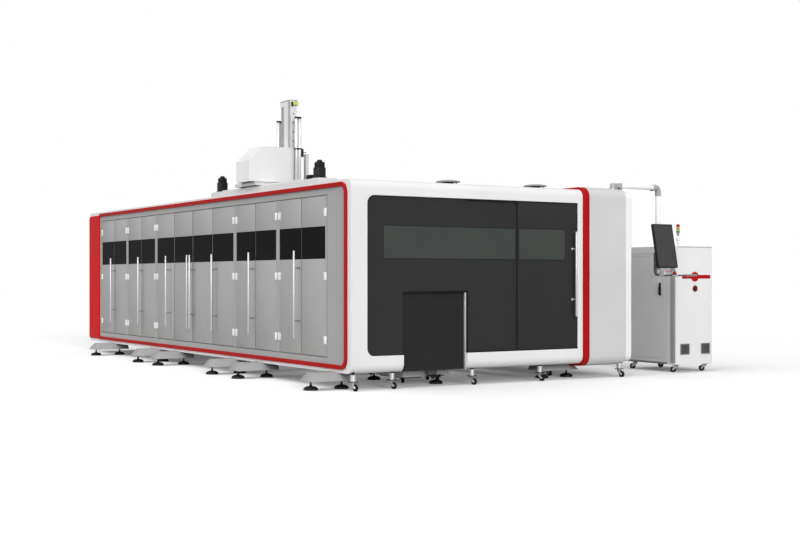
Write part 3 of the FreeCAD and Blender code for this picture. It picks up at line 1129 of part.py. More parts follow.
stop_bore = bar("stop_bore", (STOP_X, "-console_face - 1", STOP_Z), "stop_stem + stop_fit", "3 * stop_height", "y",
                GRIP_FLATS)
piece("console_column", cut("drop", fuse("drop_solid", drop_parts), [tilt_bore, stop_bore]))

CASE = ("console_shift - console_width / 2", "-monitor_face", "-monitor_below")
case = block("monitor_case", CASE, ("console_width", "monitor_thick", "monitor_below + monitor_above"))
screen = block("monitor_screen", (f"{CASE[0]} + bezel", "-monitor_face - 1", "bezel - monitor_below"),
               ("console_width - 2 * bezel", "screen_recess + 1", "monitor_below + monitor_above - 2 * bezel"))
ears = []
for side, left in (("left", "-tilt_block / 2 - pivot_gap - tilt_ear"), ("right", "tilt_block / 2 + pivot_gap")):
    ears.append(span(f"ear_{side}", (left, "monitor_thick - monitor_face - 1", "-tilt_block / 2"),
                     (f"{left} + tilt_ear", "tilt_block / 2", "tilt_block / 2")))
ears.append(rod("tilt_rod", ("-tilt_block / 2 - pivot_gap - tilt_ear", "0", "0"), "tilt_pin",
                "tilt_block + 2 * pivot_gap + 2 * tilt_ear", "x"))
monitor = fuse("monitor_whole", [cut("monitor_bezel", case, [screen])] + ears)
CORNERS[monitor.Name] = (ARM_END, "tilt_y", "tilt_height")
lean = FreeCAD.Rotation(FreeCAD.Vector(1, 0, 0), -VALUES["monitor_tilt"])
piece("monitor", monitor, lean)

tray_solid = fuse("tray_solid", [
    block("tray_plate", (CONSOLE_LEFT, f"{TRAY_FAR} - tray_depth", TRAY_LOW),
          ("console_width", "tray_depth", "tray_thick")),
    block("tray_front", (CONSOLE_LEFT, f"{TRAY_FAR} - tray_depth", TRAY_LOW),
          ("console_width", "tray_lip", "tray_thick + tray_lip"))])
tray_notches = [block(f"tray_notch_{number}", (f"{left} - leaf_gap", f"{TRAY_FAR} - tray_lug", f"{TRAY_LOW} - 1"),
                      ("tray_lug + 2 * leaf_gap", "tray_lug + 1", "tray_thick + 2"))
                for number, left in enumerate(TRAY_LUGS)]
tray = cut("tray", tray_solid, tray_notches)
piece("keyboard_tray", tray)

button = fuse("stop_solid", [
    bar("stop_cap", (STOP_X, "-console_face - stop_height", STOP_Z), "stop_radius",
        "stop_height - 1 - stop_travel", "y", FLATS),
    bar("stop_shank", (STOP_X, "-console_face - stop_height", STOP_Z), "stop_stem", "2 * stop_height", "y",
        GRIP_FLATS)])
piece("stop_button", button)

# Electrical cabinet ------------------------------------------------------------------------------------
CABINET_RIGHT = "cabinet_left + cabinet_width"
BODY_NEAR = "cabinet_front_y + cover_depth"
CABINET_FAR = "cabinet_front_y + cabinet_depth"
cabinet = span("cabinet_outer", ("cabinet_left", BODY_NEAR, "cabinet_bottom"),
               (CABINET_RIGHT, CABINET_FAR, "cabinet_top"))
cabinet_room = span("cabinet_room", ("cabinet_left + cabinet_wall", f"{BODY_NEAR} + cabinet_wall",
                                     "cabinet_bottom + cabinet_wall"),
                    (f"{CABINET_RIGHT} - cabinet_wall", f"{CABINET_FAR} - cabinet_wall",
                     "cabinet_top - cabinet_wall"))
NEAR_CORNERS = [("near", "low"), ("near", "high")]
hatchway = span("cabinet_hatchway", ("cabinet_left - 1", "hatch_near", "hatch_bottom"),
                ("cabinet_left + hatch_thick", "hatch_far", "hatch_top"))
hatchway = rounded_corners("hatchway_corners", hatchway, VALUES["hatch_round"] + VALUES["hatch_gap"], "x",
                           NEAR_CORNERS)
hatch_stop = span("cabinet_hatch_stop", ("cabinet_left", "hatch_near + stop_lap", "hatch_bottom + stop_lap"),
                  ("cabinet_left + cabinet_wall + 1", "hatch_far - stop_lap", "hatch_top - stop_lap"))
hatch_stop = rounded_corners("hatch_stop_corners", hatch_stop, VALUES["hatch_round"], "x", NEAR_CORNERS)
HATCH_HINGES = ("hatch_bottom + hatch_hinge", "hatch_top - hatch_hinge - hinge_height")
cabinet_parts = [cut("cabinet_shell", cabinet, [cabinet_room, hatchway, hatch_stop]),
                 span("laser_source", ("cabinet_left + source_inset", f"{BODY_NEAR} + source_inset",
                                       "cabinet_bottom + cabinet_wall - 1"),
                      (f"{CABINET_RIGHT} - source_inset", f"{CABINET_FAR} - source_inset", "source_top"))]
door_flaps = []
for step, height in enumerate(HATCH_HINGES):
    cabinet_parts.append(block(f"hatch_post_flap_{step}", ("cabinet_left - hinge_thick", "hatch_far", height),
                               ("hinge_thick", "hinge_flap - hatch_gap", "hinge_height")))
    cabinet_parts.append(bar(f"hatch_pin_{step}", ("cabinet_left - hinge_offset", "hatch_far", height),
                             "hinge_pin", "hinge_height", sides=PIN_FLATS))
    door_flaps.append(block(f"hatch_flap_{step}", ("cabinet_left - hinge_thick", "hatch_far - hinge_flap", height),
                            ("hinge_thick", "hinge_flap - hinge_offset - leaf_gap", "hinge_height")))
piece("cabinet_body", fuse("cabinet", cabinet_parts))

cover = span("cover_outer", ("cabinet_left", "cabinet_front_y", "cabinet_bottom"),
             (CABINET_RIGHT, BODY_NEAR, "cabinet_top"))
cover = rounded_corners("cover_edges", cover, VALUES["cover_round"], "z", [("left", "near"), ("right", "near")])
switch_base = block("switch_base", ("switch_x - switch_radius", "cabinet_front_y - switch_plate",
                                    "switch_z - switch_radius"),
                    ("2 * switch_radius", "switch_plate + 1", "2 * switch_radius"))
piece("cabinet_cover", fuse("cover", [cover, switch_base]))

strip = fuse("marker", [
    span("marker_strip", ("band_left", "cabinet_front_y - band_thick", "band_bottom"),
         ("band_right - cover_round / 2", "cabinet_front_y", "band_top")),
    bar("marker_disc", ("disc_x", "cabinet_front_y - 2 * band_thick", "(band_bottom + band_top) / 2"),
        "disc_radius", "2 * band_thick", "y", FLATS)])
piece("cabinet_strip", strip)

grilles = []
for side, left in (("left", "grille_left"), ("right", "grille_right")):
    face = block(f"grille_{side}_plate", (left, "cabinet_front_y - grille_thick", "grille_bottom"),
                 ("grille_width", "grille_thick", "grille_height"))
    pitch = "(grille_height - 2 * grille_frame) / louvre_count"
    gaps = [block(f"grille_{side}_gap_{number}",
                  (f"{left} + grille_frame", "cabinet_front_y - grille_thick - 1",
                   f"grille_bottom + grille_frame + {number} * {pitch} + ({pitch} - louvre_height) / 2"),
                  ("grille_width - 2 * grille_frame", "grille_thick / 2 + 1", "louvre_height"))
            for number in range(int(VALUES["louvre_count"]))]
    grilles.append(cut(f"grille_{side}", face, gaps))
piece("cabinet_grilles", group("grilles", grilles))

CABINET_CASTERS = [(across, back)
                   for across in ("cabinet_left + cabinet_caster", f"{CABINET_RIGHT} - cabinet_caster")
                   for back in ("cabinet_front_y + cabinet_caster", f"{CABINET_FAR} - 2 * cabinet_caster")]
casters = [caster(f"cabinet_caster_{number}", across, back, "cabinet_bottom")
           for number, (across, back) in enumerate(CABINET_CASTERS)]
piece("cabinet_casters", group("small_casters", casters))

hatch_sheet = span("hatch_sheet", ("cabinet_left", "hatch_near + hatch_gap", "hatch_bottom + hatch_gap"),
             ("cabinet_left + hatch_thick", "hatch_far - hatch_gap", "hatch_top - hatch_gap"))
hatch_sheet = rounded_corners("hatch_corners", hatch_sheet, VALUES["hatch_round"], "x", NEAR_CORNERS)
piece("cabinet_door", fuse("hatch", [hatch_sheet] + door_flaps))
LATCH_FACE = "cabinet_left - latch_boss - latch_thick"
latch = fuse("latch", [
    block("latch_lever", (LATCH_FACE, "latch_y - latch_width / 2", "latch_top - latch_length"),
          ("latch_thick", "latch_width", "latch_length")),
    bar("latch_pivot", (LATCH_FACE, "latch_y", "latch_top - latch_width / 2"), "latch_width / 3",
        "latch_thick + latch_boss", "x")])
piece("cabinet_latch", latch)

SWITCH_Y = "cabinet_front_y - switch_plate"
knob = fuse("knob", [
    bar("knob_disc", ("switch_x", f"{SWITCH_Y} - switch_height / 2", "switch_z"), "switch_radius",
        "switch_height / 2", "y", FLATS),
    block("knob_grip", ("switch_x - switch_radius / 4", f"{SWITCH_Y} - switch_height",
                        "switch_z - 0.9 * switch_radius"),
          ("switch_radius / 2", "switch_height / 2 + 1", "1.8 * switch_radius"))])
piece("main_switch", knob)

tower = [bar("tower_stalk", ("tower_x", "tower_y", "cabinet_top"), "tower_pole",
             "tower_height - 3 * tower_lens")]
for number in range(3):
    tower.append(bar(f"tower_lens_{number}", ("tower_x", "tower_y",
                                              f"cabinet_top + tower_height - {number + 1} * tower_lens"),
                     "tower_radius", "tower_lens", sides=FLATS))
piece("signal_tower", group("tower", tower))

# Check and write ---------------------------------------------------------------------------------------
DOC.recompute()
for item in DOC.Objects:
    if {"Invalid", "Error"} & set(item.State):
        raise SystemExit(f"{item.Name} did not build: {item.State}")
os.makedirs("parts", exist_ok=True)
for name, item in PIECES.items():
    if item.Shape.isNull() or not item.Shape.isValid():
        raise SystemExit(f"{name} is not a valid solid")
    item.Shape.exportStep(f"parts/{name}.step")
print(len(PIECES), "pieces")
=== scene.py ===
"""Looks of an enclosed fiber laser cutting machine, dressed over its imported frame.

Shapes are worked out in millimetres from the housing's front left corner on the floor (x to the right
along the front, y towards the back, z up), and are carried to the frame's own origin as a piece is settled.
"""

import json
import logging
import math
from dataclasses import dataclass
from enum import Enum
from typing import Callable, Iterable

import bmesh
import bpy
from mathutils import Matrix, Vector


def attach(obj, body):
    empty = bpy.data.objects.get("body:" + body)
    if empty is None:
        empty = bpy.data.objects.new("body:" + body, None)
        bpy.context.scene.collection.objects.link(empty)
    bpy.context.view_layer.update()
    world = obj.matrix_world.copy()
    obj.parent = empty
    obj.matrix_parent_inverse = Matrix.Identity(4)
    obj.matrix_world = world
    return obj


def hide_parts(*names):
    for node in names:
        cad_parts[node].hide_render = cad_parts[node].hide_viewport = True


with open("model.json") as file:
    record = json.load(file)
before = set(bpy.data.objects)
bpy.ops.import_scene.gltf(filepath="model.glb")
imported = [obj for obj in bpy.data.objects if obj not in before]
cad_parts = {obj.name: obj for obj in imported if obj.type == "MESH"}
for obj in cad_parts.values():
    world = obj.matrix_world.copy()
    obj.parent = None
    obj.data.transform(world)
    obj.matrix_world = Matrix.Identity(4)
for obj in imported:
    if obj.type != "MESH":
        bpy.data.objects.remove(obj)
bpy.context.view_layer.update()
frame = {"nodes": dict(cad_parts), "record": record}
BODY_OF = {node: body for body, nodes in frame["record"]["behaviour"]["bodies"].items() for node in nodes}
LOG = logging.getLogger("machine")

Point = tuple[float, float, float]
Pair = tuple[float, float]
Pairs = tuple[Pair, ...]
Numbers = tuple[float, ...]
Socket = bpy.types.NodeSocket
Mesh = bmesh.types.BMesh
MM = 0.001
CORNER = (-2536.5, -4113.0, 0.0)
TO_FRAME = Matrix.Diagonal((MM, MM, MM, 1.0)) @ Matrix.Translation(CORNER)
SMOOTH_BELOW = math.radians(35)
SOFTEN_ABOVE = math.radians(40)
SHARP_ABOVE = math.radians(50)
SIGNS = (-1, 1)
NUMBER = "NodeSocketFloat"
COLOUR_A, COLOUR_B, COLOUR_OUT = 6, 7, 2


class Way(Enum):
    """A direction out of the machine, as the turn that carries the z axis to it."""

    UP = ("X", 0)
    DOWN = ("X", 180)
    FRONT = ("X", 90)
    BACK = ("X", -90)
    RIGHT = ("Y", 90)
    LEFT = ("Y", -90)

    @property
    def turn(self) -> Matrix:
        """The turn from upright to this direction."""
        return Matrix.Rotation(math.radians(self.value[1]), 4, self.value[0])


class Slot(Enum):
    """The record's material slots."""

    WHITE = "white_paint"
    RED = "red_paint"
    GREY = "grey_paint"
    PALE = "pale_grey_paint"
    DARK = "dark_paint"
    GLASS = "dark_glass"
    BED = "bed_paint"
    BLACK_METAL = "black_metal"
    STEEL = "steel"
    CHROME = "chrome"
    ALLOY = "alloy"
    CASTER = "caster_black"
    FOOT = "foot_black"
    SCREEN = "screen_plastic"
    RED_PLASTIC = "red_plastic"
    BLACK_PLASTIC = "black_plastic"
    LENS = "lens_plastic"
    VENT = "vent_white"


# Shader graphs --------------------------------------------------------------------------------------


def linear(code: str, by: float = 1.0) -> tuple[float, float, float, float]:
    """A six-digit colour code as the linear colour that a shader reads.

    Args:
        code: the colour as written on a screen, such as "ededed".
        by: how many times as bright it becomes.

    Returns:
        Red, green, blue and a full alpha.
    """
    parts = [int(code[i : i + 2], 16) / 255 for i in (0, 2, 4)]
    plain = (p / 12.92 if p <= 0.04045 else ((p + 0.055) / 1.055) ** 2.4 for p in parts)
    return (*(min(1.0, p * by) for p in plain), 1.0)


class Graph:
    """One node tree that is being filled."""

    def __init__(self, tree: bpy.types.NodeTree) -> None:
        """Keeps the tree."""
        self.tree = tree

    def feed(self, node: bpy.types.Node, values: dict) -> None:
        """Links or sets a node's inputs.

        Args:
            node: the node.
            values: input name or number to a constant or to another node's output.
        """
        for key, value in values.items():
            if isinstance(value, Socket):
                self.tree.links.new(value, node.inputs[key])
            else:
                node.inputs[key].default_value = value

    def add(self, kind: str, values: dict | None = None, **settings: object) -> bpy.types.Node:
        """Adds a node.

        Args:
            kind: the node's type without its "ShaderNode" start.
            values: what its inputs get.
            settings: properties of the node.

        Returns:
            The node.
        """
        node = self.tree.nodes.new("ShaderNode" + kind)
        for name, value in settings.items():
            setattr(node, name, value)
        self.feed(node, values or {})
        return node

    def surface(self, values: dict) -> None:
        """Links or sets inputs of the material's surface shader."""
        self.feed(self.tree.nodes["Principled BSDF"], values)

    def place(self) -> Socket:
        """The point's place in the object's own coordinates."""
        return self.add("TexCoord").outputs["Object"]

    def noise(self, place: Socket, scale: float | Socket, detail: float = 2.0) -> Socket:
        """Noise of a given fineness and number of finer layers."""
        return self.add("TexNoise", {"Vector": place, "Scale": scale, "Detail": detail}).outputs[0]

    def maths(self, operation: str, first: object, second: object = 0.0, clamp: bool = False) -> Socket:
        """An operation on two numbers or outputs, kept between 0 and 1 if clamped."""
        return self.add("Math", {0: first, 1: second}, operation=operation, use_clamp=clamp).outputs[0]

    def mix(self, share: object, first: object, second: object) -> Socket:
        """The first of two colours, with a share of the second."""
        values = {0: share, COLOUR_A: first, COLOUR_B: second}
        return self.add("Mix", values, data_type="RGBA").outputs[COLOUR_OUT]

    def spread(self, value: Socket, low: float = 0.0, high: float = 1.0, start: float = 0.0,
               stop: float = 1.0) -> Socket:
        """A value carried from the range start to stop to the range low to high."""
        return self.add("MapRange", {0: value, 1: start, 2: stop, 3: low, 4: high}).outputs[0]

    def bump(self, strength: float, distance: float, height: Socket) -> Socket:
        """The normal of a surface with fine relief, whose depth is in metres."""
        return self.add("Bump", {"Strength": strength, "Distance": distance, "Height": height}).outputs[0]

    def use(self, effect: bpy.types.NodeTree, values: dict[str, float]) -> bpy.types.NodeOutputs:
        """The outputs of a shared effect, with this material's own values for it."""
        return self.add("Group", values, node_tree=effect).outputs


def effect(inputs: dict[str, float], outputs: Iterable[str]) -> Callable:
    """Makes a function that works out an effect into one that gives its node group, made once.

    Args:
        inputs: the group's number inputs and their usual values.
        outputs: its number outputs.

    Returns:
        The decorator of a function from the group's graph and inputs to its outputs, in order.
    """

    def decorate(fill: Callable) -> Callable[[], bpy.types.NodeTree]:
        """Wraps the function."""

        def group() -> bpy.types.NodeTree:
            """The node group, which carries the function's name.

            Returns:
                The group.
            """
            tree = bpy.data.node_groups.get(fill.__name__)
            if tree is None:
                tree = bpy.data.node_groups.new(fill.__name__, "ShaderNodeTree")
                for name, value in inputs.items():
                    made = tree.interface.new_socket(name=name, in_out="INPUT", socket_type=NUMBER)
                    made.default_value = value
                for name in outputs:
                    tree.interface.new_socket(name=name, in_out="OUTPUT", socket_type=NUMBER)
                given, out = tree.nodes.new("NodeGroupInput"), tree.nodes.new("NodeGroupOutput")
                graph = Graph(tree)
                graph.feed(out, dict(enumerate(fill(graph, given.outputs))))
            return tree

        return group

    return decorate


@effect({"Fineness": 350.0}, ("Height", "Tone"))
def coat_grain(graph: Graph, given: bpy.types.NodeOutputs) -> tuple[Socket, Socket]:
    """The fine peel of a sprayed coat, and the slow change of its tone over a sheet.

    Args:
        graph: the group's graph.
        given: its inputs.

    Returns:
        The height and the tone.
    """
    place = graph.place()
    peel = graph.noise(place, given["Fineness"])
    return peel, graph.spread(graph.noise(place, 1.1, 3.0), start=0.3, stop=0.7)


@effect({"Amount": 0.2, "Reach": 0.5}, ("Mask",))
def settled_dust(graph: Graph, given: bpy.types.NodeOutputs) -> tuple[Socket]:
    """Dust that lies on what faces up, and thickens towards the floor.

    Args:
        graph: the group's graph.
        given: its inputs.

    Returns:
        The mask.
    """
    place = graph.place()
    height = graph.add("SeparateXYZ", {0: place}).outputs[2]
    low = graph.maths("SUBTRACT", 1.0, graph.maths("DIVIDE", height, given["Reach"]), clamp=True)
    facing = graph.add("SeparateXYZ", {0: graph.add("NewGeometry").outputs["Normal"]}).outputs[2]
    flat = graph.maths("POWER", graph.maths("MAXIMUM", facing, 0.0), 3.0)
    speck = graph.noise(place, 14.0, 6.0)
    both = graph.maths("MAXIMUM", graph.maths("MULTIPLY", low, 0.6), flat)
    dust = graph.maths("MULTIPLY", both, graph.spread(speck, start=0.35, stop=0.7))
    return (graph.maths("MULTIPLY", dust, given["Amount"], clamp=True),)


@effect({"Amount": 0.3, "Width": 0.004}, ("Mask",))
def rubbed_edges(graph: Graph, given: bpy.types.NodeOutputs) -> tuple[Socket]:
    """Where hands and tools rub a coat thin, along outer edges.

    Args:
        graph: the group's graph.
        given: its inputs.

    Returns:
        The mask.
    """
    wide = graph.add("Bevel", {"Radius": given["Width"]}, samples=3).outputs[0]
    face = graph.add("NewGeometry").outputs["Normal"]
    same = graph.add("VectorMath", {0: wide, 1: face}, operation="DOT_PRODUCT").outputs["Value"]
    edge = graph.maths("MULTIPLY", graph.maths("SUBTRACT", 1.0, same), 6.0, clamp=True)
    patch = graph.noise(graph.place(), 30.0, 4.0)
    rub = graph.maths("MULTIPLY", edge, graph.spread(patch, start=0.45, stop=0.65))
    return (graph.maths("MULTIPLY", rub, given["Amount"], clamp=True),)


@effect({"Across X": 900.0, "Across Y": 900.0, "Across Z": 12.0}, ("Height", "Tone"))
def brushed_lines(graph: Graph, given: bpy.types.NodeOutputs) -> tuple[Socket, Socket]:
    """The long scratches of drawn or brushed metal, along the axis with the lowest number.

    Args:
        graph: the group's graph.
        given: its inputs.

    Returns:
        The height and the tone.
    """
    spans = graph.add("CombineXYZ", {i: given[i] for i in range(3)}).outputs[0]
    place = graph.place()
    line = graph.add("VectorMath", {0: place, 1: spans}, operation="MULTIPLY").outputs["Vector"]
    return graph.noise(line, 1.0, 3.0), graph.noise(place, 5.0)


# Finishes -------------------------------------------------------------------------------------------

DUST = "8d8a85"
# colour of the painted dark reflection along the outlines of polished tubes
PAINTED_RIM_REFLECTION = "3a3b3d"


@dataclass(frozen=True)
class Finish:
    """A finish: its material's name, its slot in the record, its colour and its shine."""

    name: str
    slot: Slot
    colour: str
    roughness: float = 0.42
    gloss: float = 0.5

    def material(self) -> bpy.types.Material:
        """The finish's material, made at its first use.

        Returns:
            The material.
        """
        made = bpy.data.materials.get(self.name)
        if made is None:
            made = bpy.data.materials.new(self.name)
            made.use_nodes = True
            graph = Graph(made.node_tree)
            graph.surface({"Specular IOR Level": self.gloss})
            self.fill(graph)
        return made

    def fill(self, graph: Graph) -> None:
        """Fills the material's graph, which each kind of finish does in its own way."""
        raise NotImplementedError


@dataclass(frozen=True)
class Paint(Finish):
    """A powder coat or sprayed paint on sheet steel."""

    gloss: float = 0.22
    peel: float = 0.06
    tone: float = 0.05
    dust: float = 0.12
    reach: float = 0.6
    wear: float = 0.0
    bare: str = "8f9092"

    def fill(self, graph: Graph) -> None:
        """Fills in the coat, with its peel, slow tone, dust and rubbed edges.

        Args:
            graph: the material's graph.
        """
        height, tone = graph.use(coat_grain(), {"Fineness": 350.0})
        low, high = linear(self.colour, 1 - self.tone), linear(self.colour, 1 + self.tone * 0.6)
        colour = graph.mix(tone, low, high)
        if self.dust:
            mask = graph.use(settled_dust(), {"Amount": self.dust, "Reach": self.reach})[0]
            colour = graph.mix(mask, colour, linear(DUST))
        if self.wear:
            mask = graph.use(rubbed_edges(), {"Amount": self.wear})[0]
            colour = graph.mix(mask, colour, linear(self.bare))
        rough = graph.spread(tone, self.roughness - 0.04, self.roughness + 0.05)
        relief = graph.bump(self.peel, 0.001, height)
        graph.surface({"Base Color": colour, "Roughness": rough, "Normal": relief})


@dataclass(frozen=True)
class Metal(Finish):
    """Bare, plated or anodised metal with drawn or brushed lines."""

    roughness: float = 0.3
    metallic: float = 1.0
    lines: float = 0.05
    across: Point = (900.0, 900.0, 12.0)
    # edge: strength of the painted dark reflection along the outline, for polished tubes
    edge: float = 0.0

    def fill(self, graph: Graph) -> None:
        """Fills in the metal, its lines in height, tone and roughness, and on polished tubes a painted dark
        reflection along the outline.

        Args:
            graph: the material's graph.
        """
        names = ("Across X", "Across Y", "Across Z")
        height, tone = graph.use(brushed_lines(), dict(zip(names, self.across)))
        colour = graph.mix(tone, linear(self.colour, 0.86), linear(self.colour))
        # painted reflection: the colour darkens towards the outline, where a polished tube would mirror
        # dark surroundings
        if self.edge:
            away = graph.add("LayerWeight", {"Blend": 0.5}).outputs["Facing"]
            rim = graph.spread(away, high=self.edge, start=0.72, stop=0.95)
            colour = graph.mix(rim, colour, linear(PAINTED_RIM_REFLECTION))
        rough = graph.spread(height, self.roughness - 0.05, self.roughness + 0.08)
        relief = graph.bump(self.lines, 0.0005, height)
        graph.surface({"Base Color": colour, "Roughness": rough, "Normal": relief,
                       "Metallic": self.metallic})


@dataclass(frozen=True)
class Glass(Finish):
    """Dark tinted safety glass or a screen's cover, with faint smears."""

    def fill(self, graph: Graph) -> None:
        """Fills in the pane, with smears in its roughness and a little depth in its tint.

        Args:
            graph: the material's graph.
        """
        height, tone = graph.use(coat_grain(), {"Fineness": 9.0})
        colour = graph.mix(tone, linear(self.colour, 0.82), linear(self.colour))
        rough = graph.spread(height, self.roughness, self.roughness + 0.12)
        graph.surface({"Base Color": colour, "Roughness": rough})


@dataclass(frozen=True)
class Moulded(Finish):
    """Moulded plastic or rubber with a fine spark-eroded grain."""

    roughness: float = 0.5
    gloss: float = 0.4
    grain: float = 0.15
    dust: float = 0.1
    glow: float = 0.0

    def fill(self, graph: Graph) -> None:
        """Fills in the plastic, with its grain, tone, a little dust and any glow.

        Args:
            graph: the material's graph.
        """
        height, tone = graph.use(coat_grain(), {"Fineness": 900.0})
        mask = graph.use(settled_dust(), {"Amount": self.dust, "Reach": 0.15})[0]
        plain = graph.mix(tone, linear(self.colour, 0.88), linear(self.colour))
        colour = graph.mix(mask, plain, linear(DUST))
        rough = graph.spread(height, self.roughness - 0.06, self.roughness + 0.08)
        relief = graph.bump(self.grain, 0.0003, height)
        graph.surface({"Base Color": colour, "Roughness": rough, "Normal": relief})
        if self.glow:
            graph.surface({"Emission Color": linear(self.colour), "Emission Strength": self.glow})


WHITE = Paint("white_powder_coat", Slot.WHITE, "e8e8e8", dust=0.05)
WALL_WHITE = Paint("white_wall_coat", Slot.WHITE, "e2e2e2", dust=0.08)
RED = Paint("red_gloss_paint", Slot.RED, "ac1212", roughness=0.4, gloss=0.1, dust=0.0)
STRIP_RED = Paint("red_end_strip_paint", Slot.RED, "ca1518", roughness=0.4, gloss=0.08, dust=0.0)
GREY = Paint("grey_door_coat", Slot.GREY, "a6a7a6", roughness=0.45, dust=0.12, reach=1.2)
PALE = Paint("pale_grey_sleeve_coat", Slot.PALE, "cfcfcf", roughness=0.45, dust=0.08)
RAM_PAINT = Paint("ram_grey_coat", Slot.PALE, "e0e0e1", roughness=0.4, dust=0.0)
TUBE_WHITE = Paint("tube_white_coat", Slot.WHITE, "fafafa", roughness=0.35, dust=0.0)
STRIP_GREY = Paint("ram_strip_coat", Slot.PALE, "adadae", roughness=0.4, dust=0.0)
# grey that paints the shade of the ram's channel
CHANNEL_SHADE_GREY = Paint("ram_channel_painted_shade_coat", Slot.PALE, "a2a2a3", roughness=0.45, dust=0.0)
CAP = Paint("pale_end_cap_coat", Slot.PALE, "f2f2f2", roughness=0.42, dust=0.08)
DARK = Paint("dark_front_panel_coat", Slot.DARK, "313131", roughness=0.5, gloss=0.1, dust=0.02)
OUTLET_DARK = Paint("dark_outlet_coat", Slot.DARK, "282828", roughness=0.5, gloss=0.1, dust=0.03)
BED = Paint("bed_grey_paint", Slot.BED, "9fa0a1", roughness=0.5, wear=0.4, dust=0.12)
# raised close to white to make up for the shade that the machine throws on the cart: painted light
CART_LIGHTENED = Paint("scrap_cart_painted_light_coat", Slot.BED, "f2f2f3", roughness=0.45, dust=0.1)
GREY_BLOCK = Paint("carriage_grey_paint", Slot.PALE, "d8d8d9", roughness=0.42, wear=0.15)
GREY_CAST = Paint("grey_cast_fitting", Slot.PALE, "a9aaab", roughness=0.4, dust=0.04)
BRACKET_GREY = Paint("dark_bracket_coat", Slot.BLACK_METAL, "68696a", roughness=0.45, dust=0.03)
BOX_GREY = Paint("console_box_coat", Slot.PALE, "b4b5b6", roughness=0.4, dust=0.03)
# grey of the band down the cover's side, also used for a painted shade strip along the front's top edge
BAND_AND_SHADE_GREY = Paint("cabinet_band_and_shade_coat", Slot.WHITE, "b4b4b4", roughness=0.45)
MOTOR_BLACK = Paint("black_motor_paint", Slot.BLACK_METAL, "1b1b1c", roughness=0.4, gloss=0.3, dust=0.06,
                    wear=0.25, bare="6d6d6f", peel=0.12)
BLACK_METAL = Paint("blackened_steel", Slot.BLACK_METAL, "141415", roughness=0.36, gloss=0.3, dust=0.06,
                    wear=0.3, bare="5d5d5f")
POST_GREY = Metal("grey_pull_post", Slot.ALLOY, "8e8f90", roughness=0.4, metallic=0.3)
# dark grey of the joints at the leaves' meeting edges, with the pull bars' shadow painted in
EDGE_AND_SHADOW_GREY = Paint("door_edge_and_shadow_coat", Slot.GREY, "7c7d7c", roughness=0.5, dust=0.0)
HINGE_WHITE = Paint("white_hinge_coat", Slot.WHITE, "ededed", roughness=0.35, dust=0.0)
VENT = Paint("vent_coat", Slot.VENT, "8c8d8f", roughness=0.4, dust=0.15)
STEEL = Metal("ground_steel", Slot.STEEL, "c4c5c7", roughness=0.32)
RAIL_STEEL = Metal("ground_rail_steel", Slot.STEEL, "bfc1c4", roughness=0.25, across=(12.0, 900.0, 900.0))
TABLE_STEEL = Metal("scaled_slat_steel", Slot.STEEL, "7b7672", roughness=0.55, metallic=0.8, lines=0.3,
                    across=(25.0, 60.0, 60.0))
PULL_STEEL = Metal("brushed_pull_bar", Slot.ALLOY, "d6d6d6", roughness=0.38, metallic=0.4)
# edge paints a dark reflection along the tubes' outlines
CHROME = Metal("polished_tube", Slot.CHROME, "f4f5f7", roughness=0.14, metallic=0.35, lines=0.01, edge=0.9)
ALLOY = Metal("silver_alloy", Slot.ALLOY, "dddddf", roughness=0.34, metallic=0.7)
CASTER_ALLOY = Metal("zinc_caster_fork", Slot.ALLOY, "e2e3e5", roughness=0.3, metallic=0.6)
COPPER = Metal("copper_nozzle", Slot.STEEL, "b4714a", roughness=0.28)
PANE = Glass("tinted_front_pane", Slot.GLASS, "434845", roughness=0.12, gloss=0.2)
DOOR_PANE = Glass("tinted_door_pane", Slot.GLASS, "0a0a0a", roughness=0.3, gloss=0.06)
SCREEN = Glass("monitor_glass", Slot.SCREEN, "474747", roughness=0.25, gloss=0.15)
SEAM = Moulded("door_seam_rubber", Slot.BLACK_PLASTIC, "5a5b5b", roughness=0.7)
TYRE = Moulded("caster_rubber", Slot.CASTER, "0e0e0e", roughness=0.6, gloss=0.2, dust=0.12)
PAD = Moulded("foot_rubber", Slot.FOOT, "0c0c0c", roughness=0.55, gloss=0.25, dust=0.08)
BLACK_PLASTIC = Moulded("black_moulding", Slot.BLACK_PLASTIC, "0f0f10", roughness=0.45, gloss=0.25)
GREY_PLASTIC = Moulded("grey_moulding", Slot.BLACK_PLASTIC, "8a8a8a", roughness=0.5)
BEZEL = Moulded("dark_bezel", Slot.SCREEN, "242425", roughness=0.4, gloss=0.2)
RED_PLASTIC = Moulded("red_moulding", Slot.RED_PLASTIC, "b81512", roughness=0.35, gloss=0.3)
SWITCH_RED = Moulded("switch_plate_moulding", Slot.RED_PLASTIC, "6d0f10", roughness=0.4, gloss=0.3)
BUMPER = Moulded("yellow_bumper_rubber", Slot.LENS, "c9d24a", roughness=0.5)


class Lamp(Enum):
    """The signal tower's lenses, from the top."""

    RED = Moulded("red_lens", Slot.LENS, "a01410", roughness=0.25, gloss=0.4, grain=0.02, glow=0.1)
    AMBER = Moulded("amber_lens", Slot.LENS, "b8921c", roughness=0.25, gloss=0.4, grain=0.02, glow=0.1)
    GREEN = Moulded("green_lens", Slot.LENS, "2f8f2a", roughness=0.25, gloss=0.4, grain=0.02, glow=0.1)



# Shapes ---------------------------------------------------------------------------------------------


def soften(made: Mesh, edges: Iterable[bmesh.types.BMEdge], width: float, steps: int) -> None:
    """Rounds edges to a width, with a number of faces across each."""
    bmesh.ops.bevel(made, geom=list(edges), offset=width, offset_type="OFFSET", segments=steps, profile=0.5,
                    affect="EDGES", clamp_overlap=True, material=-1)


def sharp_edges(made: Mesh) -> list[bmesh.types.BMEdge]:
    """The edges whose faces meet at a sharp angle."""
    made.normal_update()
    return [edge for edge in made.edges if edge.calc_face_angle(0.0) > SHARP_ABOVE]


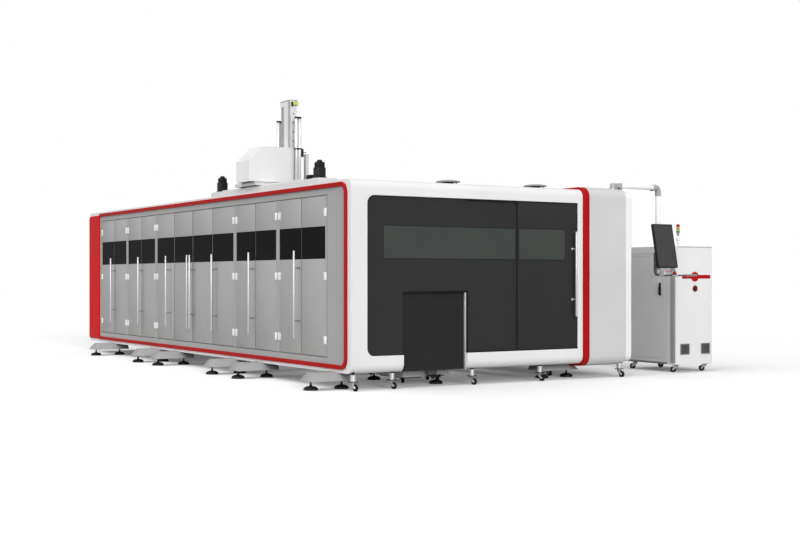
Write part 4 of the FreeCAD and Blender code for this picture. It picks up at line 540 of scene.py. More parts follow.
def faces_across(made: Mesh, axis: int, spans: dict[int, Pair]) -> list[bmesh.types.BMFace]:
    """The faces that look along an axis and whose middles lie within spans of the other axes."""
    return [face for face in made.faces if abs(face.normal[axis]) > 0.9
            and all(low < face.calc_center_median()[i] < high for i, (low, high) in spans.items())]


def cut_across(made: Mesh, axis: int, spots: Iterable[float]) -> None:
    """Cuts a mesh's faces at places on an axis.

    Args:
        made: the mesh.
        axis: 0, 1 or 2.
        spots: the places.
    """
    normal = Vector([float(i == axis) for i in range(3)])
    for spot in spots:
        bmesh.ops.bisect_plane(made, geom=made.verts[:] + made.edges[:] + made.faces[:],
                               plane_co=normal * spot, plane_no=normal)


def pierce(made: Mesh, ends: list[bmesh.types.BMFace], width: float = 0.0) -> None:
    """Opens a window between two opposite faces.

    Args:
        made: the mesh.
        ends: the two faces.
        width: width of the frame left round the window.
    """
    if width:
        bmesh.ops.inset_individual(made, faces=ends, thickness=width, depth=0.0, use_even_offset=True)
    rims = list({edge for face in ends for edge in face.edges})
    bmesh.ops.delete(made, geom=ends, context="FACES_ONLY")
    bmesh.ops.bridge_loops(made, edges=rims)
    bmesh.ops.recalc_face_normals(made, faces=made.faces)


def cube(low: Point, high: Point) -> tuple[Mesh, Matrix]:
    """A sharp block about the origin.

    Args:
        low: lowest corner of its place.
        high: highest corner of its place.

    Returns:
        The block, and the move that carries it to its place.
    """
    made = bmesh.new()
    bmesh.ops.create_cube(made, size=1.0)
    bmesh.ops.scale(made, vec=Vector(high) - Vector(low), verts=made.verts)
    return made, Matrix.Translation((Vector(low) + Vector(high)) / 2)


def stand(start: Point, way: Way, length: float) -> Matrix:
    """The move that makes a centred bar start at a point and run a way."""
    return Matrix.Translation(start) @ way.turn @ Matrix.Translation((0, 0, length / 2))


def four(x: float, y: float, z: float, across: float, along: float) -> list[Point]:
    """Four points round a middle, at one height."""
    return [(x + i * across, y + j * along, z) for i in SIGNS for j in SIGNS]


def round_about(x: float, y: float, z: float, radius: float, count: int, first: float = 0.0) -> list[Point]:
    """Points spread round a circle at one height, the first a share of a step on from the x axis."""
    angles = [math.tau * (number + first) / count for number in range(count)]
    return [(x + radius * math.cos(angle), y + radius * math.sin(angle), z) for angle in angles]


class Form:
    """A shape in the making. What adds to it gives it back, so that calls can follow each other."""

    def __init__(self) -> None:
        """Starts empty."""
        self.mesh = bmesh.new()

    def take(self, made: Mesh, place: Matrix = Matrix()) -> "Form":
        """Adds a finished primitive.

        Args:
            made: the primitive, which is used up.
            place: where it goes.

        Returns:
            This form.
        """
        made.transform(place)
        scratch = bpy.data.meshes.new("scratch")
        made.to_mesh(scratch)
        made.free()
        self.mesh.from_mesh(scratch)
        bpy.data.meshes.remove(scratch)
        return self

    def block(self, low: Point, high: Point, soft: float = 2.0, steps: int = 2,
              turn: Matrix = Matrix()) -> "Form":
        """Adds a block with softened edges.

        Args:
            low: lowest corner.
            high: highest corner.
            soft: width of the edges' softening, 0 for none.
            steps: faces across each softened edge.
            turn: a turn about the block's middle.

        Returns:
            This form.
        """
        made, move = cube(low, high)
        if soft:
            soften(made, made.edges, soft, steps)
        return self.take(made, move @ turn)

    def slab(self, low: Point, high: Point, axis: int, radius: float, steps: int = 8, soft: float = 1.5,
             corners: Iterable[Pair] | None = None) -> "Form":
        """Adds a block whose edges along one axis are rounded.

        Args:
            low: lowest corner.
            high: highest corner.
            axis: 0, 1 or 2 for the rounded edges' direction.
            radius: radius of the rounding.
            steps: faces across each rounding.
            soft: softening of the other edges.
            corners: signs of the rounded corners on the two other axes, all four if None.

        Returns:
            This form.
        """
        made, move = cube(low, high)
        others = [i for i in range(3) if i != axis]
        picks = []
        for edge in made.edges:
            first, last = (vert.co for vert in edge.verts)
            signs = tuple(int(math.copysign(1, (first + last)[i])) for i in others)
            if abs((first - last)[axis]) > 1e-6 and (corners is None or signs in corners):
                picks.append(edge)
        soften(made, picks, radius, steps)
        soften(made, sharp_edges(made), soft, 2)
        return self.take(made, move)

    def ring(self, low: Point, high: Point, axis: int, width: float, soft: float = 1.0) -> "Form":
        """Adds a picture frame: a block with a window through it along one axis.

        Args:
            low: lowest corner.
            high: highest corner.
            axis: 0, 1 or 2 for the window's direction.
            width: width of the frame.
            soft: softening of its edges.

        Returns:
            This form.
        """
        made, move = cube(low, high)
        pierce(made, faces_across(made, axis, {}), width)
        soften(made, sharp_edges(made), soft, 1)
        return self.take(made, move)

    def rod(self, start: Point, radius: float, length: float, way: Way = Way.UP, sides: int = 24,
            soft: float = 1.0, end_radius: float | None = None) -> "Form":
        """Adds a round bar or a taper.

        Args:
            start: centre of its first end.
            radius: radius there.
            length: its length.
            way: where it points.
            sides: faces round it.
            soft: softening of its rims, 0 for none.
            end_radius: radius at its other end, the same if None.

        Returns:
            This form.
        """
        made = bmesh.new()
        bmesh.ops.create_cone(made, cap_ends=True, cap_tris=False, segments=sides, radius1=radius,
                              radius2=radius if end_radius is None else end_radius, depth=length)
        if soft:
            soften(made, sharp_edges(made), soft, 2)
        return self.take(made, stand(start, way, length))

    def lathe(self, start: Point, profile: Iterable[Pair], way: Way = Way.UP, steps: int = 32) -> "Form":
        """Adds a turned shape.

        Args:
            start: the foot of its axis.
            profile: radius and height of each point of its outline.
            way: where its axis points.
            steps: faces round it.

        Returns:
            This form.
        """
        made = bmesh.new()
        points = [made.verts.new((radius, 0.0, height)) for radius, height in profile]
        line = [made.edges.new(pair) for pair in zip(points, points[1:])]
        bmesh.ops.spin(made, geom=points + line, cent=(0, 0, 0), axis=(0, 0, 1), angle=math.tau,
                       steps=steps, use_merge=True)
        bmesh.ops.remove_doubles(made, verts=made.verts, dist=0.01)
        bmesh.ops.recalc_face_normals(made, faces=made.faces)
        return self.take(made, Matrix.Translation(start) @ way.turn)

    def prism(self, outline: Iterable[Pair], axis: int, start: float, length: float,
              soft: float = 1.0) -> "Form":
        """Adds a plate or bar with a drawn outline.

        Args:
            outline: corners on the two other axes, in order.
            axis: 0, 1 or 2 for the direction of its length.
            start: where it starts on that axis.
            length: how far it goes.
            soft: softening of its edges, 0 for none.

        Returns:
            This form.
        """
        made = bmesh.new()
        corners = [made.verts.new((*pair[:axis], start, *pair[axis:])) for pair in outline]
        grown = bmesh.ops.extrude_face_region(made, geom=[made.faces.new(corners)])["geom"]
        shift = [length * (i == axis) for i in range(3)]
        bmesh.ops.translate(made, vec=shift, verts=[v for v in grown if isinstance(v, bmesh.types.BMVert)])
        bmesh.ops.recalc_face_normals(made, faces=made.faces)
        if soft:
            soften(made, sharp_edges(made), soft, 2)
        return self.take(made)

    def screws(self, starts: Iterable[Point], radius: float = 6.0, height: float = 4.0,
               way: Way = Way.UP) -> "Form":
        """Adds socket screws' heads.

        Args:
            starts: centres of their undersides.
            radius: radius of the heads.
            height: height of the heads.
            way: where they point.

        Returns:
            This form.
        """
        for start in starts:
            made = bmesh.new()
            bmesh.ops.create_cone(made, cap_ends=True, cap_tris=False, segments=12, radius1=radius,
                                  radius2=radius * 0.94, depth=height)
            top = [face for face in made.faces if face.normal.z > 0.9]
            bmesh.ops.inset_individual(made, faces=top, thickness=radius * 0.45, depth=0.0)
            bmesh.ops.inset_individual(made, faces=top, thickness=0.05, depth=-height * 0.6)
            self.take(made, stand(start, way, height))
        return self

    def elbow(self, centre: Point, bend: float, radius: float, first: Vector, axis: Vector,
              steps: int) -> "Form":
        """Adds a tube that bends by a quarter turn, with closed ends.

        Args:
            centre: centre of the bend.
            bend: radius of the bend's centre line.
            radius: radius of the tube.
            first: direction from the bend's centre to the tube's first end.
            axis: axis that the bend turns about.
            steps: rings along the bend.

        Returns:
            This form.
        """
        made, sides = bmesh.new(), 24
        turn = axis.cross(first).to_track_quat("Z", "Y").to_matrix().to_4x4()
        bmesh.ops.create_circle(made, cap_ends=False, segments=sides, radius=radius)
        made.transform(Matrix.Translation(Vector(centre) + first * bend) @ turn)
        bmesh.ops.spin(made, geom=made.verts[:] + made.edges[:], cent=centre, axis=axis, angle=math.tau / 4,
                       steps=steps, use_merge=False)
        bmesh.ops.holes_fill(made, edges=[edge for edge in made.edges if edge.is_boundary], sides=sides)
        bmesh.ops.recalc_face_normals(made, faces=made.faces)
        return self.take(made)

    def settle(self, name: str, body: str, finish: Finish, stands_for: Iterable[str] = ()) -> None:
        """Makes the form a piece of the machine.

        Args:
            name: the piece's name.
            body: the CAD body that it rides on.
            finish: its finish.
            stands_for: the CAD nodes that it replaces.
        """
        self.mesh.transform(TO_FRAME)
        data = bpy.data.meshes.new(name)
        self.mesh.to_mesh(data)
        self.mesh.free()
        settle_mesh(name, data, body, finish, stands_for)


def settle_mesh(name: str, data: bpy.types.Mesh, body: str, finish: Finish,
                stands_for: Iterable[str]) -> bpy.types.Object:
    """Shades a mesh, puts it in the scene and hangs it on its body.

    Args:
        name: the piece's name.
        data: its mesh, in the frame's metres.
        body: the CAD body that it rides on.
        finish: its finish.
        stands_for: the CAD nodes that it replaces.

    Returns:
        The piece.
    """
    data.shade_smooth()
    data.set_sharp_from_angle(angle=SMOOTH_BELOW)
    data.materials.clear()
    data.materials.append(finish.material())
    piece = bpy.data.objects.new(name, data)
    bpy.context.scene.collection.objects.link(piece)
    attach(piece, body)
    if stands_for:
        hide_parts(*stands_for)
    LOG.info("%s rides on %s, %d faces", name, body, len(data.polygons))
    return piece


def dress(node: str, name: str, finish: Finish, soft: float = 2.0, steps: int = 2) -> None:
    """Makes a smooth copy of a CAD node with softened edges, which stands for it.

    Args:
        node: the CAD node.
        name: the piece's name.
        finish: its finish.
        soft: width of the edges' softening in millimetres.
        steps: faces across each softened edge.
    """
    made = bmesh.new()
    made.from_mesh(frame["nodes"][node].data)
    bmesh.ops.remove_doubles(made, verts=made.verts, dist=1e-5)
    bmesh.ops.dissolve_limit(made, angle_limit=math.radians(0.3), verts=made.verts, edges=made.edges)
    data = bpy.data.meshes.new(name)
    made.to_mesh(data)
    made.free()
    if data.attributes.get("custom_normal"):
        data.attributes.remove(data.attributes["custom_normal"])
    bevel = settle_mesh(name, data, BODY_OF[node], finish, [node]).modifiers.new("soft_edges", "BEVEL")
    bevel.width = soft * MM
    bevel.segments = steps
    bevel.limit_method = "ANGLE"
    bevel.angle_limit = SOFTEN_ABOVE
    bevel.harden_normals = True


# Housing --------------------------------------------------------------------------------------------


@dataclass
class Housing:
    """The white shell, its red trims, the sleeve and the end cap."""

    width: float = 3150.0
    length: float = 8640.0
    top: float = 2250.0
    cap_face: float = 3950.0
    seam: float = 3.0
    panels_from: float = 120.0
    panel_pitch: float = 1420.0
    back_seams: Point = (787.0, 1575.0, 2362.0)
    roof_seams: Numbers = (1260.0, 5040.0, 6240.0, 7440.0)
    screw_heights: Numbers = (300.0, 760.0, 1220.0, 1680.0, 2130.0)
    screw_off: float = 28.0

    def build(self) -> None:
        """Builds the shell and its seams."""
        dress("front_fascia", "fascia_shell", WHITE, 4.0, 3)
        dress("roof_panel", "roof_sheet", WALL_WHITE, 3.0)
        dress("floor_frame", "bottom_rails", WHITE, 3.0)
        dress("back_and_right_walls", "wall_sheets", WALL_WHITE, 3.0)
        dress("side_frame", "door_frame", GREY)
        dress("left_trim", "side_trim", RED, 5.0, 3)
        dress("end_strip", "red_end_strip", STRIP_RED)
        dress("right_band", "red_band", RED, 5.0, 3)
        dress("side_sleeve", "sleeve_shell", PALE, 4.0, 3)
        dress("end_cap", "cap_shell", CAP, 6.0, 3)
        self.seams()

    def seams(self) -> None:
        """Joints between the sheets of the roof, the back and the right-hand face, with their screws."""
        lines, screws = Form(), Form()
        half, top, face, back, off = self.seam / 2, self.top, self.cap_face, self.length, self.screw_off
        for number in range(int((back - self.panels_from) // self.panel_pitch)):
            y = self.panels_from + (number + 1) * self.panel_pitch
            lines.block((face - 1.5, y - half, 232), (face + 0.4, y + half, top - 52), 0.0)
            screws.screws([(face - 0.5, y + side * off, z) for z in self.screw_heights for side in SIGNS],
                          7, 3.5, Way.RIGHT)
        for x in self.back_seams:
            lines.block((x - half, back - 1.5, 240), (x + half, back + 0.4, top - 8), 0.0)
            screws.screws([(x + side * off, back - 0.5, z) for z in self.screw_heights for side in SIGNS],
                          7, 3.5, Way.BACK)
        for y in self.roof_seams:
            lines.block((8, y - half, top - 1.5), (self.width - 4, y + half, top + 0.4), 0.0)
        lines.settle("sheet_joints", "housing", SEAM)
        screws.settle("sheet_screws", "housing", ALLOY)


# Front ----------------------------------------------------------------------------------------------


@dataclass
class FrontDoors:
    """The dark front panel, the sliding door and the outlet."""

    window: Pair = (1408.0, 1765.0)
    fixed: Pair = (409.0, 2179.0)
    slider_low: Point = (2190.0, 4.0, 369.0)
    slider_high: Point = (3071.0, 24.0, 2076.0)
    slider_window: Pair = (2208.0, 2882.0)
    pull: Point = (2992.0, -75.0, 745.0)
    pull_length: float = 994.0
    pull_radius: float = 13.5
    post_heights: Pair = (945.0, 1539.0)
    outlet: Pair = (652.0, 1486.0)
    outlet_top: float = 1047.0

    def build(self) -> None:
        """Builds the panel, the doors and their panes."""
        dress("front_panel", "fixed_dark_panel", DARK)
        dress("front_window", "fixed_pane", PANE, 1.0)
        dress("door_track", "sliding_track", BLACK_METAL, 0.8)
        dress("sliding_window", "sliding_pane", PANE, 1.0)
        dress("outlet_guides", "outlet_guide_rails", STEEL, 1.0)
        dress("outlet_door", "lifting_outlet_door", OUTLET_DARK)
        self.slider()
        self.rim("fixed_pane_rim", "housing", self.fixed, 28.5)
        self.rim("sliding_pane_rim", "sliding_door", self.slider_window, 2.5)
        self.outlet_jamb()

    def slider(self) -> None:
        """The sliding door's sheet and its pull bar."""
        made, move = cube(self.slider_low, self.slider_high)
        made.transform(move)
        cut_across(made, 0, self.slider_window)
        cut_across(made, 2, self.window)
        pierce(made, faces_across(made, 1, {0: self.slider_window, 2: self.window}))
        soften(made, sharp_edges(made), 1.5, 2)
        Form().take(made).settle("sliding_door_sheet", "sliding_door", DARK, ["sliding_door"])
        bar = Form().rod(self.pull, self.pull_radius, self.pull_length, soft=2.5)
        (x, y, _), face = self.pull, self.slider_low[1]
        for z in self.post_heights:
            bar.rod((x, y, z), 9, face - y, Way.BACK, soft=0.0)
            bar.rod((x, face, z), 16, 5, Way.FRONT, soft=1.5)
        bar.settle("front_pull_bar", "sliding_door", PULL_STEEL)

    def rim(self, name: str, body: str, span: Pair, face: float) -> None:
        """A slim rubber frame round a pane.

        Args:
            name: the piece's name.
            body: what it rides on.
            span: the pane's left and right edge.
            face: the rim's foremost place.
        """
        low, high = self.window
        rim = Form().ring((span[0] - 3, face, low - 3), (span[1] + 3, face + 3, high + 3), 1, 6)
        rim.settle(name, body, BLACK_PLASTIC)

    def outlet_jamb(self) -> None:
        """The outlet's bright right-hand jamb with the black seal beside it, and a black strip above the
        door that is a painted shadow line of the door's recess.
        """
        (left, right), top = self.outlet, self.outlet_top
        jamb = Form().block((right - 18, 28, 172), (right + 2, 57, top - 4), 1.5)
        jamb.settle("outlet_jamb", "housing", ALLOY)
        seal = Form().block((right, 26.5, 366), (right + 26, 31, top + 9), 1.0)
        # painted shadow: this black strip above the outlet door stands for the shadow line in its recess
        seal.block((left - 4, 26.5, top - 12), (right + 2, 31, top + 9), 1.0)
        seal.settle("outlet_seal_and_painted_shadow", "housing", PAD)


# Side doors -----------------------------------------------------------------------------------------


@dataclass(frozen=True)
class Leaf:
    """One side door leaf: number, near and far edge, its pin's edge, its pull bar and its fold, if any."""

    number: int
    near: float
    far: float
    pin: float
    grip: float | None = None
    seam: float | None = None
    outer: bool = False


@dataclass
class SideDoors:
    """Twelve leaves on the left side, with window bands, pull bars and hinges."""

    low: float = 341.0
    high: float = 2096.0
    thick: float = 35.0
    window: Pair = (1408.0, 1765.0)
    rebate: float = 5.0
    stile: float = 45.0
    grip_x: float = -77.0
    grip_radius: float = 11.0
    grip_low: float = 518.0
    grip_high: float = 1506.0
    post_heights: Pair = (713.0, 1311.0)
    hinge_heights: Point = (474.0, 1174.0, 1874.0)
    hinge_tall: float = 87.0
    flap: float = 30.0
    flap_gap: float = 8.0
    pin_x: float = -6.0
    seam_low: float = 330.0
    seam_high: float = 2107.0
    seam_near: float = 528.0
    seam_far: float = 8092.0
    leaves: tuple[Leaf, ...] = (
        Leaf(1, 582, 1138, 580), Leaf(2, 1142, 1698, 1700, 1182),
        Leaf(3, 1789, 2345, 1787), Leaf(4, 2349, 2905, 2907, 2389),
        Leaf(5, 2996, 3648, 2994, 3512, 3652, True), Leaf(6, 3656, 4306, 3652, 4248, 3652),
        Leaf(7, 4314, 4964, 4968, 4340, 4968), Leaf(8, 4972, 5624, 5626, 5108, 4968, True),
        Leaf(9, 5715, 6271, 5713, 6209), Leaf(10, 6275, 6831, 6833),
        Leaf(11, 6922, 7478, 6920, 7416), Leaf(12, 7482, 8038, 8040))
    edges: Pairs = ((580, 1700), (1787, 2907), (2994, 5626), (5713, 6833), (6920, 8040))

    def build(self) -> None:
        """Builds every leaf, the fixed hinge halves and the seams."""
        for leaf in self.leaves:
            self.leaf(leaf)
        self.fixed_hinges()
        self.seams()

    def leaf(self, leaf: Leaf) -> None:
        """One leaf with all that is welded to it.

        Args:
            leaf: its places.
        """
        body, start, stop = f"side_door_{leaf.number}", leaf.near, leaf.far
        made, move = cube((0, start, self.low), (self.thick, stop, self.high))
        made.transform(move)
        cut_across(made, 2, self.window)
        middle = faces_across(made, 0, {2: self.window})
        front = [face for face in middle if face.normal.x < 0]
        bmesh.ops.inset_individual(made, faces=front, thickness=0.2, depth=-self.rebate)
        pierce(made, middle, self.stile)
        soften(made, sharp_edges(made), 1.5, 2)
        Form().take(made).settle(f"{body}_sheet", body, GREY, [body])
        low, high = self.window
        pane = Form().block((0.8, start + 0.2, low + 0.3), (self.rebate, stop - 0.2, high - 0.3), 0.5, 1)
        pane.settle(f"{body}_pane", body, DOOR_PANE)
        if leaf.grip is not None:
            self.pull_bar(body, leaf.grip)
            # a dark strip along the leaf's edge by the pull bar: the joint between leaves, with the bar's
            # shadow painted into it
            left = stop - 9 if leaf.grip > (start + stop) / 2 else start
            edge = Form().block((-0.5, left, self.low + 3), (0.6, left + 9, low - 3), 0.0)
            edge.block((-0.5, left, high + 3), (0.6, left + 9, self.high - 3), 0.0)
            edge.settle(f"{body}_meeting_edge", body, EDGE_AND_SHADOW_GREY)
        self.leaf_flaps(body, leaf)

    def pull_bar(self, body: str, across: float) -> None:
        """A round pull bar on two posts.

        Args:
            body: the leaf.
            across: the bar's place along the side.
        """
        x, low = self.grip_x, self.grip_low
        bar = Form().rod((x, across, low), self.grip_radius, self.grip_high - low, soft=2.5)
        posts = Form()
        for z in self.post_heights:
            posts.rod((x, across, z), 8, -x, Way.RIGHT, 16, 0.0)
            posts.rod((0.5, across, z), 15, 4, Way.LEFT, 20, 1.2)
        bar.settle(f"{body}_pull_bar", body, PULL_STEEL)
        posts.settle(f"{body}_pull_posts", body, POST_GREY)

    def flaps(self, form: Form, x: float, pin: float, span: Pair, way: Way) -> None:
        """Adds three screwed hinge flaps one above the other.

        Args:
            form: what they are added to.
            x: the face that they lie on.
            pin: place of their pin along the side.
            span: their near and far edge from there.
            way: where they face.
        """
        lift = -4.0 if way is Way.LEFT else 4.0
        (low, high), (near, far) = sorted((x, x + lift)), (pin + span[0], pin + span[1])
        for z in self.hinge_heights:
            form.block((low, near, z), (high, far, z + self.hinge_tall), 1.0)
            heights = [z + step * self.hinge_tall for step in (0.2, 0.5, 0.8)]
            form.screws([(x + lift * 0.9, (near + far) / 2, height) for height in heights], 4.5, 1.4, way)

    def knuckles(self, form: Form, x: float, y: float) -> None:
        """Adds three hinge barrels one above the other, each with two joints.

        Args:
            form: what they are added to.
            x: place of the pin from the side.
            y: place of the pin along the side.
        """
        third = self.hinge_tall / 3
        for z in self.hinge_heights:
            for part in range(3):
                form.rod((x, y, z + part * third + 0.4), 5.2, third - 0.8, soft=0.6, sides=16)
            form.rod((x, y, z), 3.6, self.hinge_tall, soft=0.0, sides=12)

    def leaf_flaps(self, body: str, leaf: Leaf) -> None:
        """The flaps that a leaf carries.

        Args:
            body: the leaf's body.
            leaf: its places.
        """
        form = Form()
        if leaf.seam is None or leaf.outer:
            span = (self.flap_gap, self.flap) if leaf.pin < leaf.near else (-self.flap, -self.flap_gap)
            self.flaps(form, 0.0, leaf.pin, span, Way.LEFT)
        if leaf.seam is not None:
            gap = 0.0 if leaf.outer else self.flap_gap
            span = (-self.flap, -gap) if leaf.seam > leaf.near + self.flap else (gap, self.flap)
            self.flaps(form, self.thick, leaf.seam, span, Way.RIGHT)
            if leaf.outer:
                self.knuckles(form, self.thick + 6, leaf.seam)
        form.settle(f"{body}_hinge_flaps", body, HINGE_WHITE)

    def fixed_hinges(self) -> None:
        """The hinge halves on the posts."""
        halves = Form()
        for near, far in self.edges:
            self.flaps(halves, 0.0, near, (-self.flap, 0.0), Way.LEFT)
            self.flaps(halves, 0.0, far, (0.0, self.flap), Way.LEFT)
            self.knuckles(halves, self.pin_x, near)
            self.knuckles(halves, self.pin_x, far)
        halves.settle("post_hinge_halves", "housing", HINGE_WHITE, ["side_hinges"])

    def seams(self) -> None:
        """The dark joints above, below and beside the doorways."""
        low, high, near, far = self.seam_low, self.seam_high, self.seam_near, self.seam_far
        lines = Form().block((-0.7, near, high - 8), (0.6, far, high), 0.0)
        lines.block((-0.7, near, low), (0.6, far, low + 8), 0.0)
        for y in (near, far):
            lines.block((-0.7, y - 1.5, low), (0.6, y + 1.5, high), 0.0)
        lines.settle("doorway_seams", "housing", SEAM)


# Bed ------------------------------------------------------------------------------------------------


@dataclass
class Bed:
    """The bed on its levelling feet, the slatted table and the rail bridges."""

    pad: float = 56.0
    bell: Pairs = ((0, 0), (74, 0), (78, 5), (78, 14), (74, 24), (63, 34), (46, 41), (26, 45), (14, 48),
                   (12, 56), (0, 56))
    leg: float = 95.0
    across: Numbers = (-280.0, 95.0, 2840.0, 3215.0)
    first: float = 387.0
    pitch: float = 2628.0
    spacing: float = 1854.0
    table: tuple[Pair, Pair] = ((385.0, 2550.0), (300.0, 8400.0))
    table_top: float = 700.0
    slat_top: float = 780.0
    slat_pitch: float = 100.0
    box_edges: tuple[Point, ...] = ((-342.0, -272.0, 192.0), (3277.0, 3207.0, 2743.0))
    box_heights: Pair = (96.0, 188.0)
    box_wide: float = 304.0
    box_taper: float = 0.64
    teeth: int = 21
    middle_feet: Pairs = ((1319.0, 387.0), (1000.0, 1225.0))
    cart_low: Point = (975.0, 540.0, 60.0)
    cart_high: Point = (1600.0, 1100.0, 141.0)

    def build(self) -> None:
        """Builds the bed and what stands on it."""
        dress("bed_frame", "bed_beams_and_legs", BED, 5.0)
        dress("rail_bridges", "gantry_rail_bridges", BED, 4.0)
        dress("linear_rails", "guide_rails_and_racks", RAIL_STEEL, 1.5)
        self.feet()
        self.leg_boxes()
        self.middle_supports()
        self.scrap_cart()
        self.slatted_table()

    @property
    def rows(self) -> list[float]:
        """The places of the rows of feet along the side."""
        return [self.first + segment * self.pitch + pair * self.spacing
                for segment in range(3) for pair in range(2)]

    def feet(self) -> None:
        """Bell pads on their screws, with lock nuts."""
        pads, screws, low = Form(), Form(), self.pad - 2
        for y in self.rows:
            for x in self.across:
                pads.lathe((x, y, 0), self.bell, steps=28)
                screws.rod((x, y, low), 10, self.leg + 1 - low, sides=16, soft=0.0)
                screws.rod((x, y, low), 15, 8, sides=6)
                screws.rod((x, y, self.leg - 11), 19, 11, sides=6)
        pads.settle("foot_pads", "housing", PAD, ["levelling_feet"])
        screws.settle("foot_screws", "housing", BLACK_METAL)

    def leg_boxes(self) -> None:
        """The folded boxes round the legs, narrower at the top, each a little outside its solid leg."""
        boxes, (low, high) = Form(), self.box_heights
        for y in self.rows:
            for outer, upper, inner in self.box_edges:
                done = len(boxes.mesh.verts)
                outline = [(outer, low), (inner, low), (inner, high), (upper, high)]
                boxes.prism(outline, 1, y - self.box_wide / 2, self.box_wide, 2.0)
                for vert in list(boxes.mesh.verts)[done:]:
                    if vert.co.z > (low + high) / 2:
                        vert.co.y = y + (vert.co.y - y) * self.box_taper
        boxes.settle("bed_leg_boxes", "housing", BED)

    def middle_supports(self) -> None:
        """Two more feet under the near cross beams, each with a flat black bracket."""
        pads, brackets, posts = Form(), Form(), Form()
        low, high = self.leg - 4, self.leg + 4
        for x, y in self.middle_feet:
            pads.lathe((x, y, 0), self.bell, steps=28)
            brackets.rod((x, y, self.pad - 2), 10, 50, sides=16, soft=0.0)
            brackets.slab((x - 105, y - 45, low), (x + 90, y + 45, high), 2, 10, 3)
            brackets.prism([(x - 100, low), (x - 55, 58), (x - 30, low)], 1, y - 40, 30, 2.0)
            for side in SIGNS:
                brackets.rod((x + side * 48, y, self.leg - 22), 15, 34, sides=6)
            posts.block((x - 50, y + 60, self.leg + 2), (x + 50, y + 200, 186), 3.0)
        posts.settle("middle_foot_posts", "housing", BED)
        pads.settle("middle_foot_pads", "housing", PAD)
        brackets.settle("middle_foot_brackets", "housing", BLACK_METAL)

    def scrap_cart(self) -> None:
        """The low cart that waits behind the outlet, on four small casters."""
        (left, near, low), (right, far, high) = self.cart_low, self.cart_high
        # painted light: the tray's near-white coat makes up for the shade under the machine
        tray = Form().slab((left, near, low + 12), (right, far, high), 2, 12, 4, 3.0)
        tray.settle("scrap_cart_tray", "housing", CART_LIGHTENED)
        base = Form().block((left + 30, near + 2, low), (left + 250, far - 2, low + 13))
        wheels = Form()
        tyre = [(0, -10), (20, -10), (27, -7), (27, 7), (20, 10), (0, 10)]
        for x in (left + 75, right - 75):
            for y in (near + 125, near + 338):
                cheek = [(y - 18, low), (y - 14, 30), (y + 6, 22), (y + 22, 40), (y + 22, low)]
                base.slab((x - 30, y - 24, low - 2), (x + 30, y + 24, low + 8), 2, 6, 3)
                base.prism(cheek, 0, x - 17, 4).prism(cheek, 0, x + 13, 4)
                wheels.lathe((x, y, 27), tyre, Way.RIGHT, 28)
        base.settle("scrap_cart_frame", "housing", BLACK_METAL)
        wheels.settle("scrap_cart_wheels", "housing", TYRE)

    def slatted_table(self) -> None:
        """The table's frame and its toothed slats."""
        ((left, right), (near, far)), top = self.table, self.table_top
        frame_bars = Form().ring((left, near, top - 60), (right, far, top), 2, 80, 3.0)
        frame_bars.settle("table_frame", "housing", BED, ["work_table"])
        left, right, notch = left + 12, right - 12, self.slat_top - 18
        step = (right - left) / self.teeth
        outline: list[Pair] = [(left, top)]
        for start in [left + tooth * step for tooth in range(self.teeth)]:
            outline += [(start, notch), (start + step / 2, self.slat_top)]
        outline += [(right, notch), (right, top)]
        slats = Form()
        for number in range(int((far - near - 60) // self.slat_pitch)):
            slats.prism(outline, 1, near + 40 + number * self.slat_pitch, 5, 0.0)
        slats.settle("table_slats", "housing", TABLE_STEEL)


# Gantry and carriage --------------------------------------------------------------------------------


@dataclass
class Gantry:
    """The beam across the roof opening and its two drive motors."""

    motor_x: float = 540.0
    motors: Pair = (1720.0, 4560.0)
    side: float = 118.0
    floor: float = 2380.0
    top: float = 2606.0
    junction: Pair = (1905.0, 2015.0)
    screw_rows: Pair = (474.0, 676.0)
    screw_places: Numbers = (1600.0, 1680.0, 1760.0, 1860.0, 4420.0, 4520.0, 4600.0, 4700.0)

    def build(self) -> None:
        """Builds the beam and its motors."""
        dress("gantry_beam", "gantry_spar", WALL_WHITE, 3.0)
        places = [(x, y, self.floor) for y in self.screw_places for x in self.screw_rows]
        screws = Form().screws(places, 8, 6)
        screws.settle("gantry_end_screws", "gantry", BLACK_METAL)
        self.drive_motors()

    def drive_motors(self) -> None:
        """Black servo motors on pale base plates, and the junction box beside the near one."""
        bodies, plates, caps = Form(), Form(), Form()
        half, x, z = self.side / 2, self.motor_x, self.floor
        for y in self.motors:
            bodies.slab((x - 66, y - 66, z), (x + 66, y + 66, z + 14), 2, 8, 3)
            plates.slab((x - 74, y - 72, z), (x + 74, y + 72, z + 5), 2, 6, 3)
            bodies.screws(four(x, y, z + 14, 56, 56), 5, 3)
            bodies.slab((x - half, y - half, z + 12), (x + half, y + half, z + 134), 2, 16, 4, 4)
            for left in [x - half + 14 + step * 24 for step in range(4)]:
                bodies.block((left, y - half - 1.5, z + 22), (left + 12, y - half + 2, z + 118), 1.0, 1)
            slim = half - 9
            caps.slab((x - slim, y - slim, z + 132), (x + slim, y + slim, z + 197), 2, 16, 4, 5)
            caps.rod((x, y, z + 195), 42, 26, sides=32, soft=2.0, end_radius=27)
            caps.rod((x, y, self.top - 8), 24, 8, soft=3.0)
        bodies.settle("drive_motor_bodies", "gantry", MOTOR_BLACK, ["gantry_motors"])
        plates.settle("drive_motor_plates", "gantry", WHITE)
        caps.settle("drive_motor_caps", "gantry", BLACK_PLASTIC)
        near, far = self.junction
        box = Form().slab((x - 30, near, z), (x + 30, far, z + 60), 2, 6, 3)
        box.rod((x, near, z + 30), 10, 12, Way.FRONT, 16)
        box.settle("motor_junction_box", "gantry", BLACK_PLASTIC)
        gland = Form().rod((x, (near + far) / 2, z + 60), 11, 6, soft=1.5)
        gland.settle("motor_junction_gland", "gantry", HINGE_WHITE)


